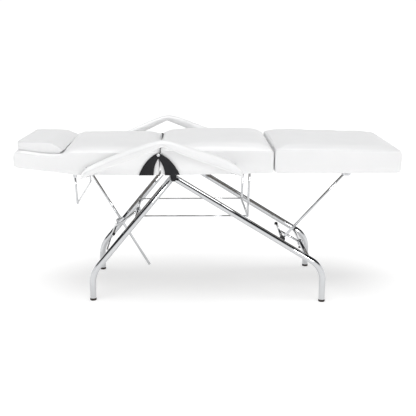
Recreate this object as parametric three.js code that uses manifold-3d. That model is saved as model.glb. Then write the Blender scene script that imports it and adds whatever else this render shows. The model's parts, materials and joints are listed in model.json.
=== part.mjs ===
// Facial treatment bed: a padded back rest, seat and leg rest on two crossed tube frames.
// Millimetres. +X points to the foot end, +Y to the patient's left, +Z up; the floor is Z = 0.
import * as THREE from "three";
import { mergeVertices } from "three/addons/utils/BufferGeometryUtils.js";
import Module from "manifold-3d";

// ---------------------------------------------------------------- driving dimensions
const GAP = 0.3; // clearance between touching pieces

const HALF_LENGTH = 920; // bed length 1840
const BED_HALF_WIDTH = 300;
const BACK_JOINT_X = -234; // joint between back rest and seat
const LEG_JOINT_X = 311; // joint between seat and leg rest
const CUSHION_CLEARANCE = 3.5; // each side of a joint

const UNDERSIDE_Z = 655; // board underside at the back joint
const SEAT_SLOPE = 9 / 545; // the seat rises a little to the foot end
const BACK_BEND_X = -611; // the back rest's underside rises from here to the head end
const BACK_BEND_SLOPE = 0.119;
const BOARD = 12; // plywood
const BOARD_HALF_WIDTH = 294;
const BACK_TOP = 770;
const SEAT_TOP = 784;
const LEG_TOP = 778;

const HINGE = { x: -240, z: 750 }; // back rest hinge pin
const PIN_RADIUS = 5;
const LEG_HINGE = { x: LEG_JOINT_X, z: 658 };

const TUBE = 16; // leg tube outer radius
const TUBE_WALL = 1.6;
const PIVOT = { x: -169, z: 636 }; // bolt that joins both leg frames
const HEAD_LEG_Y = 239;
const FOOT_LEG_Y = 277;
const HEAD_FOOT_X = -576;
const FOOT_FOOT_X = 568;
const HEAD_LEG_ANGLE = Math.atan(1.2205);
const FOOT_LEG_ANGLE = Math.atan(0.6212);
const HEAD_BEND = 150; // bend radius of the head legs
const FOOT_BEND = 120;
const CAP_HEIGHT = 12;

const onLeg = (x, angle) => PIVOT.z - Math.abs(x - PIVOT.x) * Math.tan(angle); // leg centre height
const HEAD_BAR = { x: -358, z: onLeg(-358, HEAD_LEG_ANGLE), r: 8 };
const FOOT_BAR = { x: 494, z: onLeg(494, FOOT_LEG_ANGLE), r: 11 };
const HEAD_TEE = { x: -476, z: 312, r: 6 };
const FOOT_TEE = { x: 379, z: 290, r: 8 };
const TEE_END = 126; // where a tee bar meets its swivel block
const LOW_ROD = { x: -499.6, z: 264.6, r: 4 };
const STAY = { y: 182, z: 419, r: 4 };
const SEAT_STRUT = { x: 193.5, z: 409, y: 201, r: 6, topX: 203 };

const STRUT_Y = 146; // plane of both adjusting struts, back on the left, leg on the right
const BACK_STRUT = { top: [-651, 635], guide: [-460.6, 312], end: [-310, 56.5], r: 7 };
const LEG_STRUT = { top: [688, 635], guide: [379, 290], end: [371, 281], r: 6.5 };
const BLOCK = 13; // swivel block radius

const RAIL = { x: -632, z: 498, y: 270, r: 5, eyeX: -639, topZ: 642 };

const ARM_FRONT = { x: 115, z: 700 };
const ARM_REAR = { x: -569, z: 677 };
const ARM_HALF_WIDTH = 27;
const ARM_STRAP = 3; // steel strap under the pad
const ARM_STRAP_HALF_WIDTH = 15;

const SIDES = [["right", -1], ["left", 1]];

// ---------------------------------------------------------------- materials
function finish(color, roughness, metalness) {
  return new THREE.MeshStandardMaterial({ color, roughness, metalness });
}
const chrome = finish(0xd5d8dc, 0.15, 1);
const blackSteel = finish(0x17181b, 0.45, 0.3);
const rubber = finish(0x2a211d, 0.8, 0);
const plastic = finish(0x141416, 0.5, 0);
const vinyl = finish(0xf1f1f0, 0.45, 0);
const plywood = finish(0xb99a6b, 0.8, 0);
const zinc = finish(0xa8abb0, 0.4, 0.9);

// ---------------------------------------------------------------- solids and booleans
const wasm = await Module();
wasm.setup();

function toSolid(geometry) {
  const bare = geometry.clone();
  bare.deleteAttribute("normal");
  bare.deleteAttribute("uv");
  const merged = mergeVertices(bare, 1e-4);
  return new wasm.Manifold(new wasm.Mesh({
    numProp: 3,
    vertProperties: new Float32Array(merged.attributes.position.array),
    triVerts: new Uint32Array(merged.index.array),
  }));
}

function toGeometry(solid) {
  const { vertProperties, triVerts } = solid.getMesh();
  const geometry = new THREE.BufferGeometry();
  geometry.setAttribute("position", new THREE.BufferAttribute(vertProperties, 3));
  geometry.setIndex(new THREE.BufferAttribute(triVerts, 1));
  geometry.computeVertexNormals();
  return geometry;
}

function join(...geometries) {
  return toGeometry(geometries.map(toSolid).reduce((whole, next) => whole.add(next)));
}

function cut(geometry, ...tools) {
  return toGeometry(tools.map(toSolid).reduce((whole, next) => whole.subtract(next), toSolid(geometry)));
}

// ---------------------------------------------------------------- shape helpers
// A round bar from one point to another.
function rod(from, to, radius, sides = 16) {
  const start = new THREE.Vector3(...from);
  const along = new THREE.Vector3(...to).sub(start);
  const geometry = new THREE.CylinderGeometry(radius, radius, along.length(), sides);
  geometry.translate(0, along.length() / 2, 0);
  const turn = new THREE.Quaternion().setFromUnitVectors(new THREE.Vector3(0, 1, 0), along.normalize());
  geometry.applyQuaternion(turn);
  return geometry.translate(start.x, start.y, start.z);
}

// A round bar across the bed, along Y.
const crossRod = (x, z, y0, y1, radius, sides = 16) => rod([x, y0, z], [x, y1, z], radius, sides);

// A box from its two corners.
function block(low, high) {
  const size = high.map((value, i) => value - low[i]);
  const geometry = new THREE.BoxGeometry(...size);
  return geometry.translate(...low.map((value, i) => value + size[i] / 2));
}

// A side outline (X to the right, Z up) given thickness from y0 to y1.
function slab(shape, y0, y1, curveSegments = 4) {
  const [low, high] = [Math.min(y0, y1), Math.max(y0, y1)];
  const geometry = new THREE.ExtrudeGeometry(shape, { depth: high - low, bevelEnabled: false, curveSegments });
  return geometry.rotateX(Math.PI / 2).translate(0, high, 0);
}

function outline(points) {
  return new THREE.Shape(points.map(([x, z]) => new THREE.Vector2(x, z)));
}

// A stadium-shaped hole, centred on (x, z), with half-lengths a along X and b along Z.
function slot(x, z, a, b) {
  const r = Math.min(a, b);
  const [dx, dz] = [a - r, b - r];
  const hole = new THREE.Path();
  if (dx === 0 && dz === 0) return hole.absarc(x, z, r, 0, 2 * Math.PI);
  const corners = [[1, 1], [-1, 1], [-1, -1], [1, -1]];
  corners.forEach(([right, up], quarter) => {
    const start = (quarter * Math.PI) / 2;
    hole.absarc(x + right * dx, z + up * dz, r, start, start + Math.PI / 2);
  });
  return hole;
}

// A bent centre line: straight runs with a round bend at each inner corner.
class BentLine extends THREE.Curve {
  constructor(corners, radii, bendSteps = 5) {
    super();
    const at = corners.map((corner) => new THREE.Vector3(...corner));
    const stations = [at[0]];
    for (let i = 1; i < at.length - 1; i++) {
      const before = at[i - 1].clone().sub(at[i]).normalize();
      const after = at[i + 1].clone().sub(at[i]).normalize();
      const half = before.angleTo(after) / 2;
      const radius = radii[i - 1];
      const middle = before.clone().add(after).normalize();
      const centre = at[i].clone().addScaledVector(middle, radius / Math.sin(half));
      const start = at[i].clone().addScaledVector(before, radius / Math.tan(half)).sub(centre);
      const axis = before.clone().cross(after).normalize();
      for (let k = 0; k <= bendSteps; k++) {
        const turned = start.clone().applyAxisAngle(axis, (-(Math.PI - 2 * half) * k) / bendSteps);
        stations.push(turned.add(centre));
      }
    }
    stations.push(at[at.length - 1]);
    this.stations = stations;
  }
  get steps() {
    return this.stations.length - 1;
  }
  getPoint(t) {
    return this.stations[Math.round(t * this.steps)].clone();
  }
  getPointAt(t) {
    return this.getPoint(t);
  }
  getTangentAt(t) {
    const i = Math.round(t * this.steps);
    const last = this.steps;
    const toNext = (k) => this.stations[k + 1].clone().sub(this.stations[k]).normalize();
    if (i === 0) return toNext(0);
    if (i === last) return toNext(last - 1);
    return toNext(i - 1).add(toNext(i)).normalize();
  }
}

// A bar or tube along a bent line; wall = 0 makes it solid.
function bentBar(line, radius, wall = 0, sides = 16) {
  const section = new THREE.Shape().absarc(0, 0, radius, 0, 2 * Math.PI);
  if (wall > 0) {
    section.holes.push(new THREE.Path().absarc(0, 0, radius - wall, 0, 2 * Math.PI, true));
  }
  return new THREE.ExtrudeGeometry(section, {
    steps: line.steps,
    extrudePath: line,
    curveSegments: sides / 2,
    bevelEnabled: false,
  });
}

const bed = new THREE.Group();
bed.name = "facial_treatment_bed";

function add(name, geometry, material) {
  const mesh = new THREE.Mesh(geometry, material);
  mesh.name = name;
  bed.add(mesh);
}

// ---------------------------------------------------------------- leg frames
// Each leg stands upright on the floor, bends once and runs up to the pivot bolt.
function leg(footX, y, angle, toPivot, bend) {
  const over = 8; // the tube runs a little past the bolt
  const corner = [footX, y, onLeg(footX, angle)];
  const top = [PIVOT.x + toPivot * over * Math.cos(angle), y, PIVOT.z + over * Math.sin(angle)];
  const line = new BentLine([[footX, y, CAP_HEIGHT], corner, top], [bend]);
  const hole = crossRod(PIVOT.x, PIVOT.z, y - 2 * TUBE, y + 2 * TUBE, PIN_RADIUS + GAP);
  return cut(bentBar(line, TUBE, TUBE_WALL), hole);
}

// A rubber ferrule: a tread disc with a plug that enters the tube.
function footCap(x, y) {
  const plug = TUBE - TUBE_WALL - GAP;
  const rim = CAP_HEIGHT - GAP;
  const profile = [[0, 0], [15, 0], [16.3, 1.5], [16.3, rim], [plug, rim], [plug, 30], [0, 30]];
  const lathe = new THREE.LatheGeometry(profile.map(([r, h]) => new THREE.Vector2(r, h)), 16);
  return lathe.rotateX(Math.PI / 2).translate(x, y, 0);
}

for (const [side, s] of SIDES) {
  add(`head_leg_${side}`, leg(HEAD_FOOT_X, s * HEAD_LEG_Y, HEAD_LEG_ANGLE, 1, HEAD_BEND), chrome);
  add(`foot_leg_${side}`, leg(FOOT_FOOT_X, s * FOOT_LEG_Y, FOOT_LEG_ANGLE, -1, FOOT_BEND), chrome);
  add(`head_foot_cap_${side}`, footCap(HEAD_FOOT_X, s * HEAD_LEG_Y), rubber);
  add(`foot_foot_cap_${side}`, footCap(FOOT_FOOT_X, s * FOOT_LEG_Y), rubber);
}

// Cross bars between a pair of legs, ending against the tube walls.
function crossBar({ x, z, r }, legY, angle, up) {
  const bar = crossRod(x, z, -legY, legY, r);
  const reach = 400;
  const along = [Math.cos(angle) * reach, Math.sin(angle) * reach * up];
  const wall = (y) => rod([x - along[0], y, z - along[1]], [x + along[0], y, z + along[1]], TUBE + GAP, 24);
  return cut(bar, wall(-legY), wall(legY));
}
add("head_crossbar", crossBar(HEAD_BAR, HEAD_LEG_Y, HEAD_LEG_ANGLE, 1), chrome);
add("foot_crossbar", crossBar(FOOT_BAR, FOOT_LEG_Y, FOOT_LEG_ANGLE, -1), chrome);
add("head_lower_rod", crossRod(LOW_ROD.x, LOW_ROD.z, -HEAD_LEG_Y - 5, HEAD_LEG_Y + 5, LOW_ROD.r, 12), chrome);

for (const [side, s] of SIDES) {
  const stay = rod([HEAD_BAR.x - 6, s * STAY.y, STAY.z], [SEAT_STRUT.x + 6, s * STAY.y, STAY.z + 0.6], STAY.r, 12);
  add(`stay_${side}`, stay, chrome);
}

// ---------------------------------------------------------------- rod anchors
// A collar clamped on the cross bar carries an arm; a tee bar is welded across the arm's end.
function anchorArm(bar, tee) {
  const collarRadius = bar.r + 6.5;
  const collar = crossRod(bar.x, bar.z, -14, 14, collarRadius, 20);
  const arm = rod([bar.x, 0, bar.z], [tee.x, 0, tee.z], 6, 14);
  const bore = crossRod(bar.x, bar.z, -20, 20, bar.r + GAP, 20);
  const teeSeat = crossRod(tee.x, tee.z, -20, 20, tee.r + GAP, 20);
  const screwHole = rod([bar.x, 0, bar.z], [bar.x, 0, bar.z - 40], 3 + GAP, 10);
  return cut(join(collar, arm), bore, teeSeat, screwHole);
}

// The clamp screw under the collar: a shank with a flat wing.
function wingScrew(bar) {
  const top = bar.z - bar.r - 1;
  const bottom = bar.z - bar.r - 12;
  const shank = rod([bar.x, 0, top], [bar.x, 0, bottom], 3, 10);
  const wing = block([bar.x - 9, -1.5, bottom - 9], [bar.x + 9, 1.5, bottom + 1]);
  return join(shank, wing);
}

// The tee bar has a thinner spigot at the end that carries the swivel block.
function teeBar(tee, s) {
  const bar = crossRod(tee.x, tee.z, -s * TEE_END, s * TEE_END, tee.r);
  const spigot = crossRod(tee.x, tee.z, s * (TEE_END - 4), s * (TEE_END + 7.5), PIN_RADIUS);
  return join(bar, spigot);
}

function teeCap(tee, s) {
  return crossRod(tee.x, tee.z, -s * (TEE_END + GAP), -s * (TEE_END + 12), tee.r + 1.5, 14);
}

for (const [end, bar, tee, s] of [["head", HEAD_BAR, HEAD_TEE, 1], ["foot", FOOT_BAR, FOOT_TEE, -1]]) {
  add(`${end}_anchor_arm`, anchorArm(bar, tee), chrome);
  add(`${end}_tee_bar`, teeBar(tee, s), chrome);
  add(`${end}_tee_cap`, teeCap(tee, s), plastic);
  add(`${end}_clamp_screw`, wingScrew(bar), plastic);
}

// ---------------------------------------------------------------- adjusting struts
// A swivel block turns on the tee bar's spigot, and its strut slides through it.
function unit([x0, z0], [x1, z1]) {
  const length = Math.hypot(x1 - x0, z1 - z0);
  return [(x1 - x0) / length, (z1 - z0) / length];
}

function swivelBlock(strut, tee, s) {
  const [gx, gz] = strut.guide;
  const [ux, uz] = unit(strut.end, strut.top);
  const body = crossRod(gx, gz, s * 134, s * 158, BLOCK, 20);
  const link = new THREE.Shape();
  const lean = Math.atan2(gz - tee.z, gx - tee.x);
  link.absarc(tee.x, tee.z, 11, lean + Math.PI / 2, lean + 1.5 * Math.PI);
  link.absarc(gx, gz, 11, lean - Math.PI / 2, lean + Math.PI / 2);
  const plate = slab(link, s * 127, s * 135);
  const pinHole = crossRod(tee.x, tee.z, s * 120, s * 134, PIN_RADIUS + GAP);
  const far = 60;
  const bore = rod(
    [gx - ux * far, s * STRUT_Y, gz - uz * far], [gx + ux * far, s * STRUT_Y, gz + uz * far], strut.r + GAP, 20,
  );
  return cut(join(body, plate), pinHole, bore);
}

// A strut is a round bar with a cross pin at its top end.
function strutBar(strut, s) {
  const bar = rod([strut.end[0], s * STRUT_Y, strut.end[1]], [strut.top[0], s * STRUT_Y, strut.top[1]], strut.r);
  const pin = crossRod(strut.top[0], strut.top[1], s * (STRUT_Y - 17), s * (STRUT_Y + 17), PIN_RADIUS);
  return join(bar, pin);
}

// Two cheeks under a board hold the strut's pin in slots.
function strutBracket(strut, s, boardZ, slotHalf, slotShift) {
  const [x, z] = strut.top;
  const cheek = () => {
    const shape = outline([[x - 24, boardZ(x - 24) - GAP], [x - 20, z - 12], [x - 10, z - 17], [x + 10, z - 17],
      [x + 20, z - 12], [x + 24, boardZ(x + 24) - GAP]]);
    shape.holes.push(slot(x + slotShift[0], z + slotShift[1], ...slotHalf));
    return shape;
  };
  const base = outline([[x - 24, boardZ(x - 24) - GAP], [x - 24, boardZ(x - 24) - 3],
    [x + 24, boardZ(x + 24) - 3], [x + 24, boardZ(x + 24) - GAP]]);
  return join(
    slab(cheek(), s * (STRUT_Y - 14), s * (STRUT_Y - 11)),
    slab(cheek(), s * (STRUT_Y + 11), s * (STRUT_Y + 14)),
    slab(base, s * (STRUT_Y - 14), s * (STRUT_Y + 14)),
  );
}

add("backrest_swivel_block", swivelBlock(BACK_STRUT, HEAD_TEE, 1), chrome);
add("backrest_strut", strutBar(BACK_STRUT, 1), chrome);
add("legrest_swivel_block", swivelBlock(LEG_STRUT, FOOT_TEE, -1), plastic);
add("legrest_strut", strutBar(LEG_STRUT, -1), chrome);

// ---------------------------------------------------------------- boards and cushions
const seatBottom = (x) => UNDERSIDE_Z + SEAT_SLOPE * (x - BACK_JOINT_X);
const legBottom = () => seatBottom(LEG_JOINT_X);
const backBottom = (x) => UNDERSIDE_Z + Math.max(0, BACK_BEND_X - x) * BACK_BEND_SLOPE;
const lifted = (xs, floor, by) => xs.map((x) => [x, floor(x) + by]);

function boardSlab(xs, floor) {
  const shape = outline([...lifted(xs, floor, 0), ...lifted([...xs].reverse(), floor, BOARD)]);
  return slab(shape, -BOARD_HALF_WIDTH, BOARD_HALF_WIDTH);
}

// A plain cushion: its side outline has rounded top corners, and its long edges are bevelled.
function cushionSlab(xs, floor, top, topRounds) {
  const [x0, x1] = [xs[0], xs[xs.length - 1]];
  const [r0, r1] = topRounds;
  const bevel = 10;
  const base = lifted(xs, floor, BOARD + GAP);
  const shape = new THREE.Shape();
  shape.moveTo(base[0][0] + bevel, base[0][1] + bevel);
  for (const [x, z] of base.slice(1, -1)) shape.lineTo(x, z + bevel);
  shape.lineTo(x1 - bevel, base[base.length - 1][1] + bevel);
  shape.lineTo(x1 - bevel, top - r1 - bevel);
  shape.quadraticCurveTo(x1 - bevel, top - bevel, x1 - r1 - bevel, top - bevel);
  shape.lineTo(x0 + r0 + bevel, top - bevel);
  shape.quadraticCurveTo(x0 + bevel, top - bevel, x0 + bevel, top - r0 - bevel);
  const geometry = new THREE.ExtrudeGeometry(shape, {
    depth: 2 * (BED_HALF_WIDTH - bevel),
    bevelThickness: bevel,
    bevelSize: bevel,
    bevelSegments: 2,
    curveSegments: 4,
  });
  return geometry.rotateX(Math.PI / 2).translate(0, BED_HALF_WIDTH - bevel, 0);
}

const backXs = [-HALF_LENGTH, BACK_BEND_X, BACK_JOINT_X - CUSHION_CLEARANCE];
const seatXs = [BACK_JOINT_X + CUSHION_CLEARANCE, LEG_JOINT_X - CUSHION_CLEARANCE];
const legXs = [LEG_JOINT_X + CUSHION_CLEARANCE, HALF_LENGTH];
const inset = (xs, by = 5) => xs.map((x, i) => (i === 0 ? x + by : i === xs.length - 1 ? x - by : x));

add("backrest_board", boardSlab(inset(backXs), backBottom), plywood);
add("backrest_cushion", cushionSlab(backXs, backBottom, BACK_TOP, [24, 34]), vinyl);
add("seat_board", boardSlab(inset(seatXs), seatBottom), plywood);
add("seat_cushion", cushionSlab(seatXs, seatBottom, SEAT_TOP, [44, 24]), vinyl);
add("legrest_board", boardSlab(inset(legXs), legBottom), plywood);
add("legrest_cushion", cushionSlab(legXs, legBottom, LEG_TOP, [16, 24]), vinyl);

// The head pillow is a wedge: flat top, long slope to the foot side.
function pillow() {
  const bevel = 10;
  const [x0, xTop, x1] = [-912, -742, -684];
  const [low, high] = [BACK_TOP + GAP, 806];
  const shape = outline([[x0 + bevel, low + bevel], [x1 - bevel, low + bevel], [x1 - bevel, low + bevel + 2],
    [xTop, high - bevel], [x0 + bevel, high - bevel]]);
  const halfWidth = 258;
  const geometry = new THREE.ExtrudeGeometry(shape, {
    depth: 2 * (halfWidth - bevel),
    bevelThickness: bevel,
    bevelSize: bevel,
    bevelSegments: 2,
  });
  return geometry.rotateX(Math.PI / 2).translate(0, halfWidth - bevel, 0);
}
add("head_pillow", pillow(), vinyl);

// ---------------------------------------------------------------- side hinge plates
// Two sickle-shaped plates on each side cross at the top pin and open like scissors.
function backPlateShape() {
  const shape = new THREE.Shape();
  const p = (x, z) => [HINGE.x + x, HINGE.z + z];
  shape.moveTo(...p(0, 10));
  shape.quadraticCurveTo(...p(-62, -18), ...p(-94, -99));
  shape.lineTo(...p(-23, -99));
  shape.quadraticCurveTo(...p(-22, -50), ...p(-2, -21));
  shape.lineTo(...p(10, -14));
  shape.quadraticCurveTo(...p(17, 2), ...p(0, 10));
  shape.holes.push(slot(HINGE.x, HINGE.z, PIN_RADIUS + GAP, PIN_RADIUS + GAP));
  return shape;
}

function seatPlateShape() {
  const shape = new THREE.Shape();
  const p = (x, z) => [HINGE.x + x, HINGE.z + z];
  const ear = 14;
  const [ex, ez] = [PIVOT.x, PIVOT.z];
  shape.moveTo(...p(0, 10));
  shape.quadraticCurveTo(...p(-17, 2), ...p(-10, -14));
  shape.lineTo(...p(3, -21));
  shape.quadraticCurveTo(...p(28, -52), ...p(31, -98));
  shape.lineTo(ex - ear, HINGE.z - 98);
  shape.absarc(ex, ez, ear, Math.PI, 2 * Math.PI);
  shape.lineTo(ex + ear, HINGE.z - 97);
  shape.lineTo(...p(101, -95));
  shape.quadraticCurveTo(...p(66, -16), ...p(0, 10));
  shape.holes.push(slot(HINGE.x, HINGE.z, PIN_RADIUS + GAP, PIN_RADIUS + GAP));
  shape.holes.push(slot(ex, ez, PIN_RADIUS + GAP, PIN_RADIUS + GAP));
  return shape;
}

const PLATE_Y = 301.6; // inner face of the inner plate
const PLATE = 3;
function hingePlate(shape, s, layer, flangeX, floor) {
  const y0 = PLATE_Y + layer * (PLATE + GAP);
  const plate = slab(shape, s * y0, s * (y0 + PLATE), 6);
  const z = Math.min(floor(flangeX[0]), floor(flangeX[1])) - GAP;
  const ends = [s * 250, s * (y0 + 1)].sort((a, b) => a - b);
  const flange = block([flangeX[0], ends[0], z - PLATE], [flangeX[1], ends[1], z]);
  return join(plate, flange);
}

function headedPin(x, z, s, inner, outer, head, sides = 16) {
  return join(
    crossRod(x, z, s * inner, s * outer, PIN_RADIUS, sides),
    crossRod(x, z, s * (outer - 0.1), s * (outer + head), PIN_RADIUS + 3, sides),
  );
}

for (const [side, s] of SIDES) {
  const outerFace = PLATE_Y + 2 * PLATE + 2 * GAP;
  const backFlange = [HINGE.x - 86, HINGE.x - 30];
  add(`backrest_hinge_plate_${side}`, hingePlate(backPlateShape(), s, 0, backFlange, backBottom), blackSteel);
  const seatFlange = [HINGE.x + 33, HINGE.x + 52];
  add(`seat_hinge_plate_${side}`, hingePlate(seatPlateShape(), s, 1, seatFlange, seatBottom), blackSteel);
  add(`hinge_pin_${side}`, headedPin(HINGE.x, HINGE.z, s, PLATE_Y - 1, outerFace, 2), zinc);
  add(`pivot_bolt_${side}`, headedPin(PIVOT.x, PIVOT.z, s, HEAD_LEG_Y - 24, outerFace, 4), blackSteel);
}

// ---------------------------------------------------------------- seat strut
// A U-shaped bar drops from the seat to the leg level; the stays rest on its cross part.
function seatStrut() {
  const { x, z, y, r, topX } = SEAT_STRUT;
  const top = seatBottom(topX) - GAP;
  const line = new BentLine([[topX, -y, top - 1], [x, -y, z], [x, y, z], [topX, y, top - 1]], [14, 14]);
  const pad = (s) => rod([topX, s * y, top - 3], [topX, s * y, seatBottom(topX - 16) - GAP], 16, 20);
  return join(bentBar(line, r), pad(-1), pad(1));
}
add("seat_strut", seatStrut(), chrome);
for (const [side, s] of SIDES) {
  const legInner = FOOT_LEG_Y - TUBE - GAP - 0.5;
  const outer = crossRod(SEAT_STRUT.x, SEAT_STRUT.z, s * (SEAT_STRUT.y + 7), s * legInner, 4, 12);
  add(`strut_spacer_${side}`, outer, zinc);
}

// ---------------------------------------------------------------- leg rest hinge
// A long butt hinge under the gap: knuckles of both leaves alternate on one pin.
function hingeLeaf(direction, knuckles) {
  const { x, z } = LEG_HINGE;
  const top = seatBottom(x + direction * 30) - GAP - (direction < 0 ? 0 : 0.2);
  const parts = knuckles.map(([y0, y1]) => {
    const ring = crossRod(x, z, y0, y1, 4.5, 14);
    const web = block([Math.min(x + direction * 3.5, x + direction * 9), y0, z - 1],
      [Math.max(x + direction * 3.5, x + direction * 9), y1, top]);
    return join(ring, web);
  });
  const [xa, xb] = [x + direction * 6, x + direction * 34].sort((a, b) => a - b);
  const leaf = block([xa, -150, top - 2], [xb, 150, top]);
  const bore = crossRod(x, z, -200, 200, 2.5 + GAP, 14);
  return cut(join(leaf, ...parts), bore);
}
add("legrest_hinge_seat_leaf", hingeLeaf(-1, [[-150, -91], [-29, 29], [91, 150]]), zinc);
add("legrest_hinge_leg_leaf", hingeLeaf(1, [[-90, -30], [30, 90]]), zinc);
add("legrest_hinge_pin", crossRod(LEG_HINGE.x, LEG_HINGE.z, -151, 151, 2.5, 14), zinc);

const backBracket = strutBracket(BACK_STRUT, 1, backBottom, [12.8, 6.6], [0, -0.5]);
add("backrest_strut_bracket", backBracket, zinc);
const legBracket = strutBracket(LEG_STRUT, -1, legBottom, [7.5, 12.8], [-1.5, 0.3]);
add("legrest_strut_bracket", legBracket, zinc);

// ---------------------------------------------------------------- head rail
// A U-shaped rod for a paper roll hangs in two clips under the back rest.
function headRail() {
  const { x, z, y, r, eyeX, topZ } = RAIL;
  const line = new BentLine([[eyeX, -y, topZ], [x, -y, z], [x, y, z], [eyeX, y, topZ]], [10, 10]);
  const eye = (s) => crossRod(eyeX, topZ, s * (y - r), s * (y + r), 7, 14);
  const bore = (s) => crossRod(eyeX, topZ, s * (y - 20), s * (y + 20), 3 + GAP, 14);
  return cut(join(bentBar(line, r, 0, 12), eye(-1), eye(1)), bore(-1), bore(1));
}
add("head_rail", headRail(), chrome);

function railClip(s) {
  const { y, r, eyeX: cx, topZ } = RAIL;
  const top = backBottom(cx + 14) - GAP;
  const cheek = (y0) => slab(outline([[cx - 9, top], [cx - 7, topZ - 8], [cx + 7, topZ - 8], [cx + 9, top]]),
    s * y0, s * (y0 + 2.5));
  const base = block([cx - 14, -y - 8.5, top - 2.5], [cx + 14, -y + 8.5, top]);
  if (s > 0) base.translate(0, 2 * y, 0);
  const pin = crossRod(cx, topZ, s * (y - r - 2), s * (y + r + 2), 3, 12);
  return join(base, cheek(y - r - 3.3), cheek(y + r + 0.8), pin);
}
for (const [side, s] of SIDES) add(`rail_clip_${side}`, railClip(s), zinc);

// ---------------------------------------------------------------- arm rests
// Seen from the side an arm rest is a flat V upside down: sharp below, round on top.
// In plan it swings out from the back rest's side to the widest point beside the hinge.
function between(a, b, steps) {
  return Array.from({ length: steps + 1 }, (_, i) => a + ((b - a) * i) / steps);
}
const smooth = (t) => t * t * (3 - 2 * t);
const ramp = (x, from, to) => smooth(THREE.MathUtils.clamp((x - from) / (to - from), 0, 1));
const armOffset = (x) => 335 + 95 * ramp(x, -555, -150) - 30 * ramp(x, -100, 90);

const ARM_APEX = { x: -214, z: 812 };
const REAR_SLOPE = 0.44;
const FRONT_SLOPE = 0.4;
const ARM_ENDS = [-602, 154];
const STRAP_ENDS = [-584, 132];
const STRAP_ROOM = 6; // the pad's recess is this much longer than the strap

function armBottom(x) {
  const fromApex = x - ARM_APEX.x;
  return ARM_APEX.z - (fromApex < 0 ? -REAR_SLOPE : FRONT_SLOPE) * fromApex;
}

// Two straight runs blended into a round crown.
function armTop(x) {
  const round = 18;
  const rear = 949 + REAR_SLOPE * x;
  const front = 770 - 0.417 * x;
  return -round * Math.log(Math.exp(-rear / round) + Math.exp(-front / round));
}

// The pad's height shrinks to a rounded tip over the last stretch.
function tipHeight(x) {
  const fromTip = Math.min(x - ARM_ENDS[0], ARM_ENDS[1] - x);
  const t = THREE.MathUtils.clamp(fromTip / 46, 0, 1);
  return 0.3 + 0.7 * Math.sqrt(1 - (1 - t) ** 2);
}

const armStations = (ends) => [...between(ends[0], ARM_APEX.x, 8), ...between(ARM_APEX.x, ends[1], 8).slice(1)];

// A bar along the arm rest's line: point(x, v, w) gives [sideways, height] for v, w in -0.5..0.5.
function armBar(stations, s, across, upward, point) {
  const steps = stations.length - 1;
  const geometry = new THREE.BoxGeometry(1, 1, 1, steps, across, upward);
  const at = geometry.attributes.position;
  for (let i = 0; i < at.count; i++) {
    const x = stations[Math.round((at.getX(i) + 0.5) * steps)];
    const [sideways, height] = point(x, at.getY(i), at.getZ(i));
    at.setXYZ(i, x, s * armOffset(x) + sideways, height);
  }
  return geometry;
}

const strapBar = (stations, s, halfWidth, from, to) =>
  armBar(stations, s, 1, 1, (x, v, w) => [2 * v * halfWidth, armBottom(x) + (w < 0 ? from : to)]);

function armPad(s) {
  const rounded = (x, v, w) => {
    const up = w + 0.5;
    const edge = Math.abs(2 * v) ** 3;
    const height = (armTop(x) - armBottom(x)) * tipHeight(x);
    return [2 * v * ARM_HALF_WIDTH * (1 - 0.2 * up * up), armBottom(x) + height * up * (1 - 0.3 * edge * up)];
  };
  const tips = [ARM_ENDS[0] + 12, ARM_ENDS[1] - 12];
  const stations = [ARM_ENDS[0], ...armStations(tips), ARM_ENDS[1]];
  const pad = armBar(stations, s, 4, 3, rounded);
  const room = [STRAP_ENDS[0] - STRAP_ROOM, ...armStations(STRAP_ENDS), STRAP_ENDS[1] + STRAP_ROOM];
  return cut(pad, strapBar(room, s, ARM_STRAP_HALF_WIDTH + 1, -20, ARM_STRAP + GAP));
}

// The steel strap under the pad, with an upright tab on the inner side at each end.
function armFrame(s) {
  const strap = strapBar(armStations(STRAP_ENDS), s, ARM_STRAP_HALF_WIDTH, 0, ARM_STRAP);
  const tabs = [ARM_REAR, ARM_FRONT].map(({ x, z }) => {
    const inner = armOffset(x) - ARM_HALF_WIDTH - GAP - 3;
    const ends = [x - 9, x + 9];
    const back = [...ends].reverse();
    const layer = (from, to) => outline([...lifted(ends, armBottom, from), ...lifted(back, armBottom, to)]);
    const upright = outline([...lifted(ends, armBottom, -3), [ends[1], z + 9], [ends[0], z + 9]]);
    const tab = slab(upright, s * inner, s * (inner + 3));
    const foot = slab(layer(-3, -0.5), s * inner, s * (armOffset(x) + 6));
    const weld = slab(layer(-3, 1), s * (armOffset(x) - 6), s * (armOffset(x) + 6));
    return join(tab, foot, weld);
  });
  const rearInner = armOffset(ARM_REAR.x) - ARM_HALF_WIDTH - GAP;
  const rearPin = crossRod(ARM_REAR.x, ARM_REAR.z, s * (rearInner - 1), s * 301.2, PIN_RADIUS);
  const frontInner = armOffset(ARM_FRONT.x) - ARM_HALF_WIDTH;
  const frontHole = crossRod(ARM_FRONT.x, ARM_FRONT.z, s * (frontInner - 10), s * (frontInner + 5), PIN_RADIUS + GAP);
  return cut(join(strap, ...tabs, rearPin), frontHole);
}

// The seat side carries a plate with a long stud for the front of the arm rest.
function armFrontBracket(s) {
  const { x, z } = ARM_FRONT;
  const low = seatBottom(x) - 3.3;
  const plate = slab(outline([[x - 12, low], [x + 12, low], [x + 12, z + 7], [x - 12, z + 7]]), s * 301, s * 304);
  const ends = [s * 255, s * 303].sort((a, b) => a - b);
  const flange = block([x - 12, ends[0], low], [x + 12, ends[1], seatBottom(x - 12) - GAP]);
  const reach = armOffset(x) - ARM_HALF_WIDTH - GAP;
  return join(plate, flange, crossRod(x, z, s * 303, s * reach, PIN_RADIUS));
}

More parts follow.
